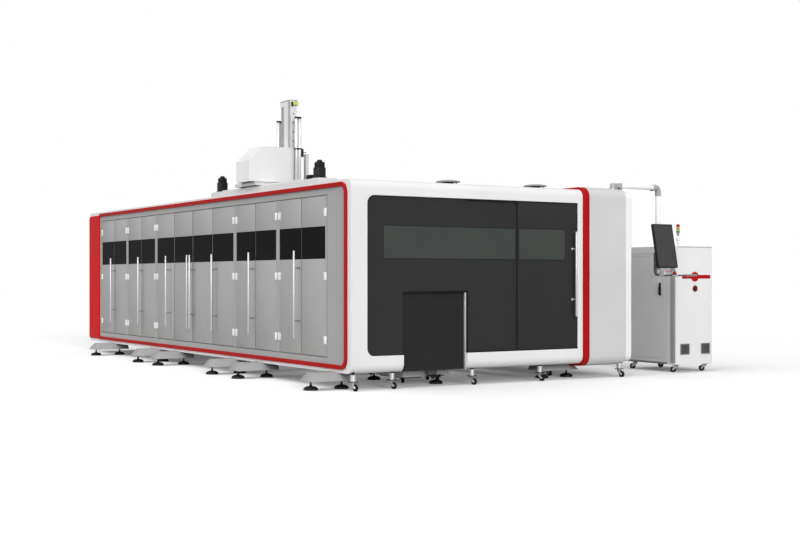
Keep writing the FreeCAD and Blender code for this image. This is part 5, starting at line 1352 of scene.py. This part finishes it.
@dataclass
class Carriage:
    """The saddle with its hood, balance cylinders and duct."""

    tubes: Pair = (1022.0, 1072.0)
    pairs: Pair = (3270.0, 3800.0)
    floor: float = 2439.0
    top: float = 3320.0
    clamp: float = 2886.0
    radius: float = 21.0
    saddle: Pair = (3215.0, 3840.0)
    saddle_screws: Numbers = (430.0, 560.0, 690.0, 820.0, 950.0)
    screw_height: float = 2418.0
    duct: Pair = (1202.0, 3300.0)
    duct_screws: Numbers = (2480.0, 2600.0, 2720.0, 2800.0)

    def build(self) -> None:
        """Builds the carriage."""
        dress("carriage", "saddle_and_duct", GREY_BLOCK)
        dress("carriage_hood", "white_hood", WHITE, 3.0, 3)
        self.cylinders()
        screws = Form()
        for y, way in zip(self.saddle, (Way.FRONT, Way.BACK)):
            screws.screws([(x, y, self.screw_height) for x in self.saddle_screws], way=way)
        screws.screws([(*self.duct, z) for z in self.duct_screws], 5, 3, Way.FRONT)
        screws.settle("saddle_screws", "carriage", ALLOY)

    def cylinders(self) -> None:
        """Twin chrome tubes with black oval caps and clamps."""
        tubes, blacks = Form(), Form()
        low, top, clamp = self.floor, self.top, self.clamp
        left, right = self.tubes[0] - 25, self.tubes[1] + 25
        for y in self.pairs:
            for x in self.tubes:
                tubes.rod((x, y, low), self.radius, top - low - 20, sides=28)
            blacks.slab((left, y - 25, top - 24), (right, y + 25, top), 2, 24.8, soft=3)
            blacks.slab((left, y - 25, clamp), (right, y + 25, clamp + 22), 2, 20, 6)
            blacks.slab((left, y - 25, low), (right, y + 25, low + 18), 2, 20, 6)
        x, y = right - 3, self.pairs[0]
        blacks.slab((x, y - 16, clamp - 92), (x + 30, y + 16, clamp + 18), 1, 12, 4, corners=[(1, 1)])
        tubes.settle("balance_tubes", "carriage", CHROME, ["balance_cylinders"])
        blacks.settle("balance_caps_and_clamps", "carriage", BLACK_METAL)
        lever = Form().block((x + 28, y - 8, clamp - 36), (x + 76, y + 8, clamp - 26))
        lever.settle("balance_lever", "carriage", GREY_PLASTIC)


@dataclass
class RamAndHead:
    """The tall ram with its rail strip, and the swivelling cutting head under it."""

    low: Point = (993.0, 3390.0, 1900.0)
    high: Point = (1098.0, 3680.0, 3546.0)
    bolt_pitch: float = 121.0
    first_bolt: float = 3376.0
    tilt: float = 1680.0
    head_half: float = 37.0
    bolt_ring: float = 69.0
    drum: Pairs = ((0, 0), (60, 0), (66, 4), (66, 40), (74, 44), (74, 96), (66, 100), (66, 112), (73, 116),
                   (73, 120), (0, 120))
    focus_tube: Pairs = ((0, 0), (9, 0), (11, 4), (24, 46), (30, 50), (30, 58), (34, 62), (34, 110),
                         (36, 113), (36, 145), (0, 145))
    tip: Pairs = ((0, 0), (3, 0), (6, 5), (12, 12), (12, 22), (0, 22))

    @property
    def middle(self) -> Point:
        """The middle of the ram's foot."""
        return (self.low[0] + self.high[0]) / 2, (self.low[1] + self.high[1]) / 2, self.low[2]

    def build(self) -> None:
        """Builds the ram, the swivel and the head."""
        dress("z_ram", "ram_section", RAM_PAINT)
        self.ram_fittings()
        self.swivel()
        self.head()

    def ram_fittings(self) -> None:
        """Rail bolts, grey sheets that paint the channel's shade inside it and on the side face beside it,
        and the bumper at the top.
        """
        (left, near, low), (right, far, top) = self.low, self.high
        bolts = Form()
        for number in range(int((self.first_bolt - low - 120) // self.bolt_pitch) + 1):
            z = self.first_bolt - number * self.bolt_pitch
            bolts.rod((left + 48, near + 0.5, z), 9, 1.2, Way.FRONT, 16, 0.3)
        bolts.settle("ram_rail_bolts", "z_ram", BLACK_METAL)
        # painted shade: grey sheets darken the inside of the channel
        shade_inside = Form().block((left + 13, far - 68, low + 72), (left + 15.5, far - 1, top - 72), 0.5, 1)
        shade_inside.block((left + 2, far - 70, low + 71), (left + 14, far - 66, top - 71), 1)
        shade_inside.settle("ram_channel_painted_shade_inside", "z_ram", CHANNEL_SHADE_GREY)
        strip = Form().block((left - 0.8, near + 1, low + 40), (left + 1, near + 62, top - 6), 0.4, 1)
        strip.settle("ram_rail_strip", "z_ram", STRIP_GREY)
        # painted shade: a grey sheet on the side face beside the channel widens its painted shade
        shade_beside = Form().block((left - 0.8, far - 112, low + 40), (left + 1, far - 71, top - 60), 0.4, 1)
        shade_beside.settle("ram_channel_painted_shade_beside", "z_ram", CHANNEL_SHADE_GREY)
        stop = Form().slab((right - 68, near - 26, top - 58), (right - 8, near, top - 14), 1, 9, 4)
        stop.settle("ram_bumper_pad", "z_ram", BUMPER)
        bracket = Form().block((right - 88, near - 22, top - 74), (right - 66, near + 1, top - 16), 1.5)
        bracket.settle("ram_bumper_bracket", "z_ram", BLACK_METAL)
        plate = Form().slab((left - 4, near - 4, top + 1), (right + 4, far + 4, top + 14), 2, 6, 3)
        x, y, _ = self.middle
        plate.screws(four(x, y, top + 14, (right - left) / 2 - 18, (far - near) / 2 - 22))
        plate.settle("ram_top_plate", "z_ram", ALLOY)

    def swivel(self) -> None:
        """The drum under the ram and its side arm."""
        x, y, low = self.middle
        arm = x + self.head_half + 2
        swivel = Form().lathe((x, y, low - 120), self.drum, steps=48)
        foot = [(-1, -1), (1, -1)]
        swivel.slab((arm, y - 37, low - 270), (arm + 26, y + 37, low - 119), 0, 30, 6, corners=foot)
        swivel.rod((arm + 26, y, self.tilt), 24, 8, Way.RIGHT, 32, 2)
        swivel.rod((arm - 16, y, self.tilt), 12, 17, Way.RIGHT, 24, 0.5)
        swivel.settle("head_swivel_drum", "head_swivel", ALLOY, ["head_swivel"])
        bolts = Form().screws(round_about(x, y, low - 5, self.bolt_ring, 8), 4, 4, Way.DOWN)
        bolts.settle("head_swivel_bolts", "head_swivel", BLACK_METAL)

    def head(self) -> None:
        """The cutting head: body, focus tube, nozzle and side fittings."""
        (x, y, _), half, z = self.middle, self.head_half, self.tilt
        low, slim = z - 130, half - 5
        body = Form().slab((x - half, y - half, low + 34), (x + half, y + half, z + 52), 2, 9, 4)
        body.slab((x - slim, y - slim, z + 50), (x + slim, y + slim, z + 66), 2, 8, 4)
        body.settle("head_body", "cutting_head", DARK, ["cutting_head"])
        Form().lathe((x, y, low - 106), self.focus_tube).settle("head_focus_tube", "cutting_head", ALLOY)
        tip = Form().lathe((x, y, low - 110), self.tip, steps=24)
        tip.settle("head_nozzle_tip", "cutting_head", COPPER)
        fittings = Form().rod((x - half, y, z + 20), 8, 6, Way.LEFT, 16)
        places = [(x + side * 26, y - half, z + up) for side in SIGNS for up in (-80, 36)]
        fittings.screws(places, 4, 2, Way.FRONT)
        fittings.block((x - 18, y - half - 3, z - 60), (x + 18, y - half + 1, z + 10), 1.0)
        fittings.settle("head_fittings", "cutting_head", STEEL)


# Roof vents and casters -----------------------------------------------------------------------------


@dataclass
class RoofVents:
    """Two low round vents near the front of the roof."""

    places: Pairs = ((1528.0, 450.0), (2787.0, 450.0))
    roof: float = 2250.0
    height: float = 68.0
    post_ring: float = 96.0
    lid: Pairs = ((0, 0), (132, 0), (140, 3), (140, 9), (130, 15), (80, 23), (0, 26))
    neck: Pairs = ((0, 0), (88, 0), (88, 4), (66, 6), (62, 12), (62, 44), (0, 44))

    def build(self) -> None:
        """Builds both vents."""
        lids, necks, top = Form(), Form(), self.roof + self.height
        for x, y in self.places:
            lids.lathe((x, y, top - 26), self.lid, steps=40)
            lids.screws([(x, y, top - 1)], 7, 3)
            necks.lathe((x, y, self.roof), self.neck)
            for post in round_about(x, y, self.roof, self.post_ring, 4, 0.5):
                necks.rod(post, 6, 44, sides=12, soft=0.0)
        lids.settle("vent_lids", "housing", VENT, ["roof_vents"])
        necks.settle("vent_necks", "housing", BLACK_PLASTIC)


@dataclass
class Casters:
    """Swivel casters under the housing, the sleeve and the cabinet."""

    radius: float = 37.0
    trail: float = 38.0
    plate: float = 95.0
    collar: float = 31.0
    collar_top: float = 172.0
    tyre: Pairs = ((0, -8), (15, -8), (17, -13), (31, -14), (37, -10), (37, 10), (31, 14), (17, 13),
                   (15, 8), (0, 8))
    hub: Pairs = ((0, -14), (9, -14), (14, -11), (14, 11), (9, 14), (0, 14))
    cheek: Pairs = ((-21, 94), (-21, 74), (22, 32), (42, 27), (47, 38), (24, 84), (20, 94))
    housing: tuple[Point, ...] = (
        (45, 45, 205), (542, 75, 200), (1596, 75, 200), (2560, 75, 200), (3120, 640, 182), (3745, 30, 182),
        (3745, 2880, 152), (3745, 5760, 152), (3745, 8540, 152))
    cabinet: tuple[Point, ...] = ((4850, 200, 102), (4850, 950, 102), (5350, 200, 102), (5350, 950, 102))

    def build(self) -> None:
        """Builds both sets."""
        self.casters("housing_caster", self.housing, "housing_casters", -172.0)
        self.casters("cabinet_caster", self.cabinet, "cabinet_casters", 30.0)

    def casters(self, name: str, places: Iterable[Point], node: str, heading: float) -> None:
        """One set of casters.

        Args:
            name: start of the pieces' names.
            places: stem's place and the height that it reaches.
            node: the CAD node that the set stands for.
            heading: how far the wheels have swivelled from straight back, in degrees.
        """
        tyres, forks, plates, stems, tabs = (Form() for _ in range(5))
        axle, low = (0, self.trail, self.radius), self.plate
        for x, y, top in places:
            place = Matrix.Translation((x, y, 0)) @ Matrix.Rotation(math.radians(heading), 4, "Z")
            fork = Form().lathe(axle, self.hub, Way.RIGHT, 24)
            for side, way in zip(SIGNS, (Way.LEFT, Way.RIGHT)):
                fork.prism(self.cheek, 0, side * 18 - 1.5, 3, 0.8)
                fork.rod((side * 19.5, self.trail, self.radius), 7, 4, way, 6, 0.6)
            fork.slab((-19, -20, 86), (19, 26, low), 2, 10, 4)
            tyres.take(Form().lathe(axle, self.tyre, Way.RIGHT).mesh, place)
            forks.take(fork.mesh, place)
            tabs.take(Form().block((-9, -30, 70), (9, -15, 80)).mesh, place)
            plates.slab((x - 44, y - 40, low), (x + 44, y + 40, low + 7), 2, 12, 4)
            plates.screws(four(x, y, low, 34, 30), way=Way.DOWN)
            high = min(top, self.collar_top) - low - 6
            collar = [(0, 0), (self.collar, 0), (self.collar, high), (0, high)]
            stems.lathe((x, y, low + 6), collar, steps=28)
            plates.rod((x, y, low + 5 + high), 15, top - low - 5 - high, sides=20, soft=0.0)
            plates.rod((x, y, low + 5 + high), self.collar - 4, 6)
        tyres.settle(f"{name}_wheels", "housing", TYRE, [node])
        forks.settle(f"{name}_forks", "housing", CASTER_ALLOY)
        plates.settle(f"{name}_plates", "housing", BLACK_METAL)
        stems.settle(f"{name}_collars", "housing", CASTER_ALLOY)
        tabs.settle(f"{name}_brake_tabs", "housing", SWITCH_RED)


# Operator console -----------------------------------------------------------------------------------


@dataclass
class Console:
    """The swing arm, the drop tube, the monitor, the console box and its tray."""

    pivot: Pair = (3690.0, 80.0)
    roof: float = 2250.0
    arm_z: float = 2317.0
    arm_end: float = 4425.0
    arm_radius: float = 30.0
    bend: float = 42.0
    elbow_low: float = 2247.0
    left: float = 4275.5
    right: float = 4600.5
    face: float = -130.0
    low: float = 1216.0
    high: float = 1284.0
    tilt: Point = (4425.0, 22.0, 1600.0)
    lean: float = -11.3
    screen: tuple[Pair, Pair] = ((-149.5, -291.0), (175.5, 259.0))
    tray_far: float = -140.0
    tray_near: float = -414.0
    tray_low: float = 1220.0
    tray_thick: float = 14.0
    stop: Pair = (4498.0, 1258.0)
    hub: Pairs = ((17, 0), (34, 0), (38, 4), (38, 46), (30, 56), (17, 56), (17, 0))
    neck: Pairs = ((24, -22), (92, -26), (118, -62), (126, -50), (126, 26), (108, 34), (24, 26))
    carrier: Pairs = ((0, 292), (7, 299), (24, 299), (24, 74), (32, 46), (50, 27), (80, 20), (260, 20),
                      (260, 0), (58, 0), (34, 8), (14, 26), (3, 48), (0, 70))
    cap: Pairs = ((0, 0), (9, 0), (9, 5.5), (18, 6), (21, 10), (21, 14), (17, 18), (8, 20), (0, 20))
    seat: Pairs = ((12, 0), (23, 0), (23, 3), (19, 6.2), (12, 6.2), (12, 0))

    def build(self) -> None:
        """Builds the console from the roof bracket down."""
        self.roof_bracket()
        self.arm()
        self.column()
        self.box()
        self.monitor()
        self.tray()
        self.stop_button()

    def roof_bracket(self) -> None:
        """The plate on the sleeve's roof and its post."""
        (x, y), top = self.pivot, self.roof + 38
        base = Form().slab((x - 40, y - 42, self.roof), (x + 44, y + 42, top), 2, 10, 4)
        base.screws(four(x, y, top, 32, 34), 5, 3)
        base.rod((x, y, top - 2), 16, 59, sides=32)
        base.settle("arm_roof_plate", "housing", ALLOY, ["monitor_bracket"])

    def arm(self) -> None:
        """The hub, the arm tube and the elbow."""
        (x, y), z, end, bend = self.pivot, self.arm_z, self.arm_end, self.bend
        hub = Form().lathe((x, y, self.roof + 39), self.hub, steps=40)
        hub.prism([(x + out, z + up) for out, up in self.neck], 1, y - 31, 62, 6.0)
        hub.settle("arm_hub", "monitor_arm", GREY_CAST, ["monitor_arm"])
        tube = Form().rod((x + 100, y, z), self.arm_radius, end - bend - x - 100, Way.RIGHT, 32)
        tube.settle("arm_tube", "monitor_arm", TUBE_WHITE)
        clip = Form().slab((end - bend - 82, y - 14, z - 40), (end - bend - 52, y + 14, z - 27), 2, 5, 3)
        clip.settle("arm_tube_clip", "monitor_arm", BLACK_PLASTIC)
        elbow = Form().elbow((end - bend, y, z - bend), bend, 36, Vector((0, 0, 1)), Vector((0, 1, 0)), 5)
        elbow.rod((end - bend - 50, y, z), 37, 52, Way.RIGHT, 32, 2.0)
        elbow.rod((end, y, self.elbow_low), 37, 30, sides=32, soft=2.0)
        elbow.settle("arm_elbow", "monitor_arm", GREY_CAST)

    def column(self) -> None:
        """The drop tube with its collars."""
        x, y, low, top = self.arm_end, self.pivot[1], self.low + 20, self.elbow_low
        tube = Form().rod((x, y, low), self.arm_radius + 1, top - 1 - low, sides=32)
        tube.settle("drop_tube", "console_column", TUBE_WHITE, ["console_column"])
        rings = Form().rod((x, y, top - 33), self.arm_radius + 6, 31, sides=32, soft=2.0)
        rings.rod((x, y, low - 12), self.arm_radius + 5, 18, sides=32, soft=2.0)
        rings.settle("drop_tube_collars", "console_column", GREY_CAST)

    def box(self) -> None:
        """The flat console box with its front strip, and the bracket that carries the monitor."""
        left, right, face, low, high = self.left, self.right, self.face, self.low, self.high
        stop, y = self.stop[0], self.pivot[1]
        box = Form().block((left + 66, face, low + 6), (stop + 40, face + 96, high), 4.0)
        box.settle("console_box", "console_column", ALLOY)
        shelf = Form().block((left + 46, face, low), (right, y + 36, low + 9))
        shelf.settle("console_shelf", "console_column", BOX_GREY)
        strip = Form().block((left + 72, face - 1.2, high - 14), (stop - 34, face + 2, high - 5), 1.0)
        strip.settle("console_strip", "console_column", RED_PLASTIC)
        keys = Form()
        for x in [left + 84 + number * 26 for number in range(4)]:
            keys.rod((x, face - 1, low + 26), 5, 4, Way.FRONT, 20)
        keys.settle("console_buttons", "console_column", BLACK_PLASTIC)
        x, near, z = self.tilt
        arm = Form().block((x - 15, near - 14, z - 15), (x + 15, y - 20, z + 15), 3.0)
        arm.settle("monitor_tilt_block", "console_column", BLACK_METAL)
        carrier = Form().prism([(left + 55 + out, low + up) for out, up in self.carrier], 1, 25, 33, 2.0)
        carrier.settle("monitor_carrier", "console_column", BRACKET_GREY)
        lugs, pin, low = Form(), self.tray_far, self.tray_low
        for x in (left + 48, left + 253):
            lugs.block((x, pin - 8, low), (x + 24, face + 1, low + self.tray_thick))
            lugs.rod((x - 2, pin, low + self.tray_thick / 2), 3, 28, Way.RIGHT, 16, 0.3)
        lugs.settle("tray_hinge_lugs", "console_column", STEEL)

    def monitor(self) -> None:
        """The leaning monitor: case with louvres and ears, bezel and screen."""
        (left, low), (right, high) = self.screen
        case = Form().slab((left, -52, low), (right, -24, high), 1, 10, 4, 3.0)
        for x in (-26, 16):
            case.block((x, -25, -15), (x + 10, 15, 15))
        case.rod((-26, 0, 0), 6, 52, Way.RIGHT, 20, 0.5)
        for z in range(90, 216, 14):
            case.block((-60, -24.5, z), (90, -22.5, z + 6), 0.8, 1)
        rim = Form().ring((left, -58, low), (right, -50, high), 1, 12, 1.5)
        pane = Form().block((left + 11, -55.5, low + 11), (right - 11, -51, high - 11), 0.6, 1)
        place = Matrix.Translation(self.tilt) @ Matrix.Rotation(math.radians(self.lean), 4, "X")
        for form in (case, rim, pane):
            form.mesh.transform(place)
        case.settle("monitor_case", "monitor", BEZEL, ["monitor"])
        rim.settle("monitor_bezel", "monitor", BLACK_PLASTIC)
        pane.settle("monitor_screen", "monitor", SCREEN)

    def tray(self) -> None:
        """The fold-up keyboard tray with its keys."""
        left, right, near, far, low = self.left, self.right, self.tray_near, self.tray_far, self.tray_low
        top = low + self.tray_thick
        plate = Form().slab((left, near, low), (right, far - 26, top), 2, 10, 4, 2.0)
        plate.block((left + 2, near, low + 4), (right - 2, near + 9, top + 9))
        for start, stop in ((left, left + 44), (left + 76, left + 249), (left + 281, right)):
            plate.block((start, far - 28, low), (stop, far, top))
        plate.settle("keyboard_tray_plate", "keyboard_tray", ALLOY, ["keyboard_tray"])
        edges = Form()
        for x in (left - 0.8, right - 1):
            edges.block((x, near + 84, low + 2), (x + 1.8, far - 35, top - 2), 0.4, 1)
        edges.block((left + 20, near - 0.8, low + 2), (left + 150, near + 1, low + 12), 0.4, 1)
        edges.settle("keyboard_tray_edges", "keyboard_tray", BLACK_PLASTIC)
        board = Form().slab((left + 16, near + 30, top - 1), (right - 16, near + 150, top + 4), 2, 6, 3)
        board.settle("keyboard_base", "keyboard_tray", BLACK_PLASTIC)
        keys = Form()
        for y in [near + 36 + row * 22 for row in range(5)]:
            for x in [left + 22 + column * 20 for column in range(14)]:
                keys.block((x, y, top + 3), (x + 17, y + 18, top + 8), 1.2, 1)
        keys.settle("keyboard_keys", "keyboard_tray", BEZEL)

    def stop_button(self) -> None:
        """The red mushroom button and its ring."""
        x, z = self.stop
        button = Form().lathe((x, self.face - 6, z), self.cap, Way.FRONT)
        button.settle("stop_button_cap", "stop_button", RED_PLASTIC, ["stop_button"])
        seat = Form().lathe((x, self.face + 1, z), self.seat, Way.FRONT)
        seat.settle("stop_button_ring", "console_column", BLACK_PLASTIC)


# Cabinet --------------------------------------------------------------------------------------------


@dataclass
class Cabinet:
    """The free-standing electrical cabinet with its door, switch, grilles and signal tower."""

    left: float = 4770.0
    right: float = 5430.0
    face: float = 120.0
    seam: float = 270.0
    far: float = 1110.0
    low: float = 100.0
    top: float = 1600.0
    joint: Pair = (1508.0, 1511.0)
    screw_heights: Numbers = (200.0, 640.0, 1080.0, 1450.0)
    latch: Point = (4750.0, 405.0, 979.0)
    strip: tuple[Pair, Pair] = ((4875.0, 1190.0), (5366.0, 1237.0))
    disc_place: Pair = (5095.0, 1213.5)
    disc: Pairs = ((0, 0), (62, 0), (62, 10), (58, 13), (44, 13), (41, 11), (0, 11))
    switch: Pair = (5098.0, 1063.0)
    grilles: Pair = (4843.0, 5202.0)
    grille_size: Pair = (155.0, 139.0)
    grille_low: float = 226.0
    tower: Pair = (5040.0, 360.0)
    tower_tall: float = 290.0
    lens_pitch: float = 38.0
    flange: Pairs = ((0, 0), (24, 0), (24, 5), (16, 10), (12, 18), (0, 18))
    ball: Pairs = ((0, 0), (12, 1), (21, 8), (25, 20), (25, 28), (21, 40), (12, 47), (0, 48))
    neck: Pairs = ((0, 0), (10, 0), (13, 6), (13, 20), (20, 26), (22, 36), (0, 36))
    lid: Pairs = ((0, 0), (21, 0), (21, 2), (18, 4), (0, 4))

    def build(self) -> None:
        """Builds the cabinet."""
        dress("cabinet_body", "cabinet_case", WALL_WHITE, 2.5)
        dress("cabinet_cover", "cabinet_front_cover", WHITE, 5.0, 3)
        dress("cabinet_door", "cabinet_door_sheet", WALL_WHITE)
        self.seams()
        self.door_latch()
        self.front_marks()
        self.front_grilles()
        self.signal_tower()

    def seams(self) -> None:
        """Sheet joints, the plinth and the screws."""
        left, right, low, top = self.left, self.right, self.low, self.top
        face, seam, far = self.face, self.seam, self.far
        lines, screws = Form(), Form()
        for x in (left, right):
            lines.block((x - 0.6, seam + 2, self.joint[0]), (x + 0.6, far - 2, self.joint[1]), 0.0)
        lines.settle("cabinet_sheet_joints", "housing", SEAM)
        band = Form().block((left - 1.2, face + 14, low + 24), (left + 1, face + 98, top - 24), 0.5)
        # painted shade: a grey strip along the front's top edge, where the rounded edge looks darker
        band.block((left + 30, face - 0.8, top - 16), (right - 30, face + 2, top - 2), 0.5)
        band.settle("cabinet_cover_band_and_shade", "housing", BAND_AND_SHADE_GREY)
        plinth = Form().ring((left - 1, seam + 4, low), (right + 1, far + 1, low + 26), 2, 30)
        plinth.settle("cabinet_plinth", "housing", GREY_PLASTIC)
        for z in self.screw_heights:
            screws.screws([(right, seam + 60, z), (right, far - 60, z)], 6, 3, Way.RIGHT)
            screws.screws([(left + 60, far, z), (right - 60, far, z)], 6, 3, Way.BACK)
        screws.settle("cabinet_screws", "housing", ALLOY)

    def door_latch(self) -> None:
        """The door's swing handle, its lock and its seat."""
        x, y, z = self.latch
        lever = Form().slab((x, y - 13, z), (x + 15, y + 13, z + 151), 0, 10, 4, 2.5)
        lever.rod((x + 14, y, z + 138), 9, 6, Way.RIGHT, 24, 0.5)
        lever.settle("cabinet_latch_lever", "cabinet_latch", BLACK_PLASTIC, ["cabinet_latch"])
        lock = Form().rod((x, y, z + 124), 6, 2, Way.LEFT, 20, 0.5)
        lock.settle("cabinet_latch_lock", "cabinet_latch", CHROME)
        x = self.left
        seat = Form().slab((x - 3.4, y - 16, z - 8), (x + 0.5, y + 16, z + 159), 0, 12, 4, 0.8)
        seat.settle("cabinet_latch_seat", "cabinet_door", BLACK_PLASTIC)

    def front_marks(self) -> None:
        """The bare red strip with its disc, and the main switch."""
        ((left, low), (right, high)), face = self.strip, self.face
        strip = Form().slab((left, face - 6, low), (right, face + 1, high), 1, 5, 3)
        strip.settle("cabinet_red_strip", "housing", RED, ["cabinet_strip"])
        x, z = self.disc_place
        Form().lathe((x, face + 1, z), self.disc, Way.FRONT, 48).settle("cabinet_red_disc", "housing", RED)
        x, z = self.switch
        base = Form().lathe((x, face - 5.5, z), [(0, 0), (41, 0), (41, 1), (0, 1)], Way.FRONT, 40)
        base.settle("main_switch_plate", "housing", SWITCH_RED)
        knob = Form().lathe((x, face - 7, z), [(0, 0), (30, 0), (30, 12), (26, 16), (0, 16)], Way.FRONT, 40)
        knob.slab((x - 8, face - 40, z - 27), (x + 8, face - 21, z + 27), 1, 7, 4)
        knob.settle("main_switch_knob", "main_switch", SWITCH_RED, ["main_switch"])

    def front_grilles(self) -> None:
        """Two louvred grilles low on the front."""
        frames, blades, backs = Form(), Form(), Form()
        (wide, tall), low, face = self.grille_size, self.grille_low, self.face
        lean = Matrix.Rotation(math.radians(-32), 4, "X")
        for left in self.grilles:
            right = left + wide
            frames.ring((left, face - 12, low), (right, face, low + tall), 1, 11, 2.0)
            backs.block((left + 4, face - 2, low + 4), (right - 4, face + 0.5, low + tall - 4), 0.0)
            for z in [low + 17 + number * 13 for number in range(9)]:
                blades.block((left + 9, face - 10, z - 1.5), (right - 9, face - 1, z + 1.5), 0.6, 1, lean)
        frames.settle("grille_frames", "housing", GREY_PLASTIC, ["cabinet_grilles"])
        blades.settle("grille_blades", "housing", GREY_PLASTIC)
        backs.settle("grille_shadows", "housing", BLACK_PLASTIC)

    def signal_tower(self) -> None:
        """Three lenses on a stalk."""
        (x, y), z = self.tower, self.top
        stalk = Form().rod((x, y, z), 9, 150, soft=0.5)
        stalk.lathe((x, y, z), self.flange).lathe((x, y, z + 68), self.ball)
        stalk.settle("tower_stalk", "housing", WHITE, ["signal_tower"])
        high = z + self.tower_tall - 4
        neck = Form().lathe((x, y, z + 140), self.neck).lathe((x, y, high), self.lid)
        neck.settle("tower_neck_and_cap", "housing", GREY_PLASTIC)
        ribs = [(21 + (2 <= up <= 5), 2 + rib * 8 + up) for rib in range(4) for up in (0, 2, 5, 7)]
        lens = [(0, 0), (21, 0), *ribs, (21, 35), (0, 35)]
        rings = Form()
        for lamp in Lamp:
            name = f"tower_lens_{lamp.name.lower()}"
            Form().lathe((x, y, high - 35), lens).settle(name, "housing", lamp.value)
            rings.lathe((x, y, high - 39), [(0, 0), (22.5, 0), (22.5, 4), (0, 4)])
            high -= self.lens_pitch
        rings.settle("tower_rings", "housing", HINGE_WHITE)


# Studio ---------------------------------------------------------------------------------------------


@dataclass
class Studio:
    """Floor, world, lamps and camera."""

    lens: float = 56.47
    sensor: float = 36.0
    shift: float = 0.0144
    heading: float = -31.84
    camera_place: Point = (-9.0685, -15.598, 1.197)
    far_clip: float = 200.0
    ambient: float = 0.36
    floor_half: float = 60.0
    floor_lift: float = 0.1

    def build(self) -> None:
        """Builds the studio."""
        self.world()
        self.floor()
        self.sun("front_lamp", (0.2, 1.0, -0.28), 1.92, 24.0)
        self.sun("left_lamp", (1.0, 0.0, -0.2), 0.66, 14.0)
        self.sun("high_lamp", (0.62, 0.05, -1.0), 1.42, 70.0)
        self.camera()
        bpy.context.scene.view_settings.view_transform = "Standard"

    def place(self, name: str, data: bpy.types.ID) -> bpy.types.Object:
        """Puts a floor, lamp or camera in the scene.

        Args:
            name: its name.
            data: its mesh, lamp or camera.

        Returns:
            The object.
        """
        made = bpy.data.objects.new(name, data)
        bpy.context.scene.collection.objects.link(made)
        return made

    def world(self) -> None:
        """Soft light all round, and plain white wherever the backdrop itself is seen."""
        world = bpy.data.worlds.new("studio_world")
        bpy.context.scene.world = world
        world.use_nodes = True
        world.node_tree.nodes.clear()
        graph = Graph(world.node_tree)
        path = graph.add("LightPath").outputs
        seen = graph.maths("MAXIMUM", path["Is Camera Ray"], path["Is Transmission Ray"])
        glow, white = (graph.add("Background", {"Color": (1, 1, 1, 1), "Strength": strength}).outputs[0]
                       for strength in (self.ambient, 1.0))
        both = graph.add("MixShader", {0: seen, 1: glow, 2: white}).outputs[0]
        graph.add("OutputWorld", {"Surface": both})

    def floor(self) -> None:
        """A plain pale floor that keeps the machine's shadow and throws little light back up."""
        made = bmesh.new()
        bmesh.ops.create_grid(made, x_segments=1, y_segments=1, size=self.floor_half)
        data = bpy.data.meshes.new("studio_floor")
        made.to_mesh(data)
        made.free()
        floor = self.place("studio_floor", data)
        material = bpy.data.materials.new("pale_floor")
        material.use_nodes = True
        graph = Graph(material.node_tree)
        tone = graph.mix(graph.noise(graph.place(), 0.4), linear("fbfbfb"), linear("ffffff"))
        seen = graph.add("LightPath").outputs["Is Camera Ray"]
        colour = graph.mix(seen, linear("b4b4b4"), tone)
        lift = graph.maths("MULTIPLY", seen, self.floor_lift)
        graph.surface({"Base Color": colour, "Roughness": 0.9, "Specular IOR Level": 0.0,
                       "Emission Strength": lift, "Emission Color": (1, 1, 1, 1)})
        data.materials.append(material)

    def sun(self, name: str, flow: Point, strength: float, softness: float) -> None:
        """One broad lamp that is far away.

        Args:
            name: its name.
            flow: where its light goes.
            strength: its strength.
            softness: how wide it looks from the machine, in degrees.
        """
        data = bpy.data.lights.new(name, "SUN")
        data.energy = strength
        data.angle = math.radians(softness)
        self.place(name, data).rotation_euler = Vector(flow).to_track_quat("-Z", "Y").to_euler()

    def camera(self) -> None:
        """The camera at the photograph's place."""
        data = bpy.data.cameras.new("studio_camera")
        data.lens, data.sensor_width = self.lens, self.sensor
        data.shift_y, data.clip_end = self.shift, self.far_clip
        camera = self.place("studio_camera", data)
        camera.location = self.camera_place
        camera.rotation_euler = (math.radians(90), 0.0, math.radians(self.heading))
        bpy.context.scene.camera = camera


def main() -> None:
    """Dresses the whole machine and builds the studio round it."""
    logging.basicConfig(level=logging.INFO, format="%(message)s")
    Studio().build()
    for part in (Housing(), FrontDoors(), SideDoors(), Bed(), Gantry(), Carriage(), RamAndHead(),
                 RoofVents(), Casters(), Console(), Cabinet()):
        part.build()
        LOG.info("%s done", type(part).__name__)
    bpy.context.view_layer.update()


if __name__ == "__main__":
    main()
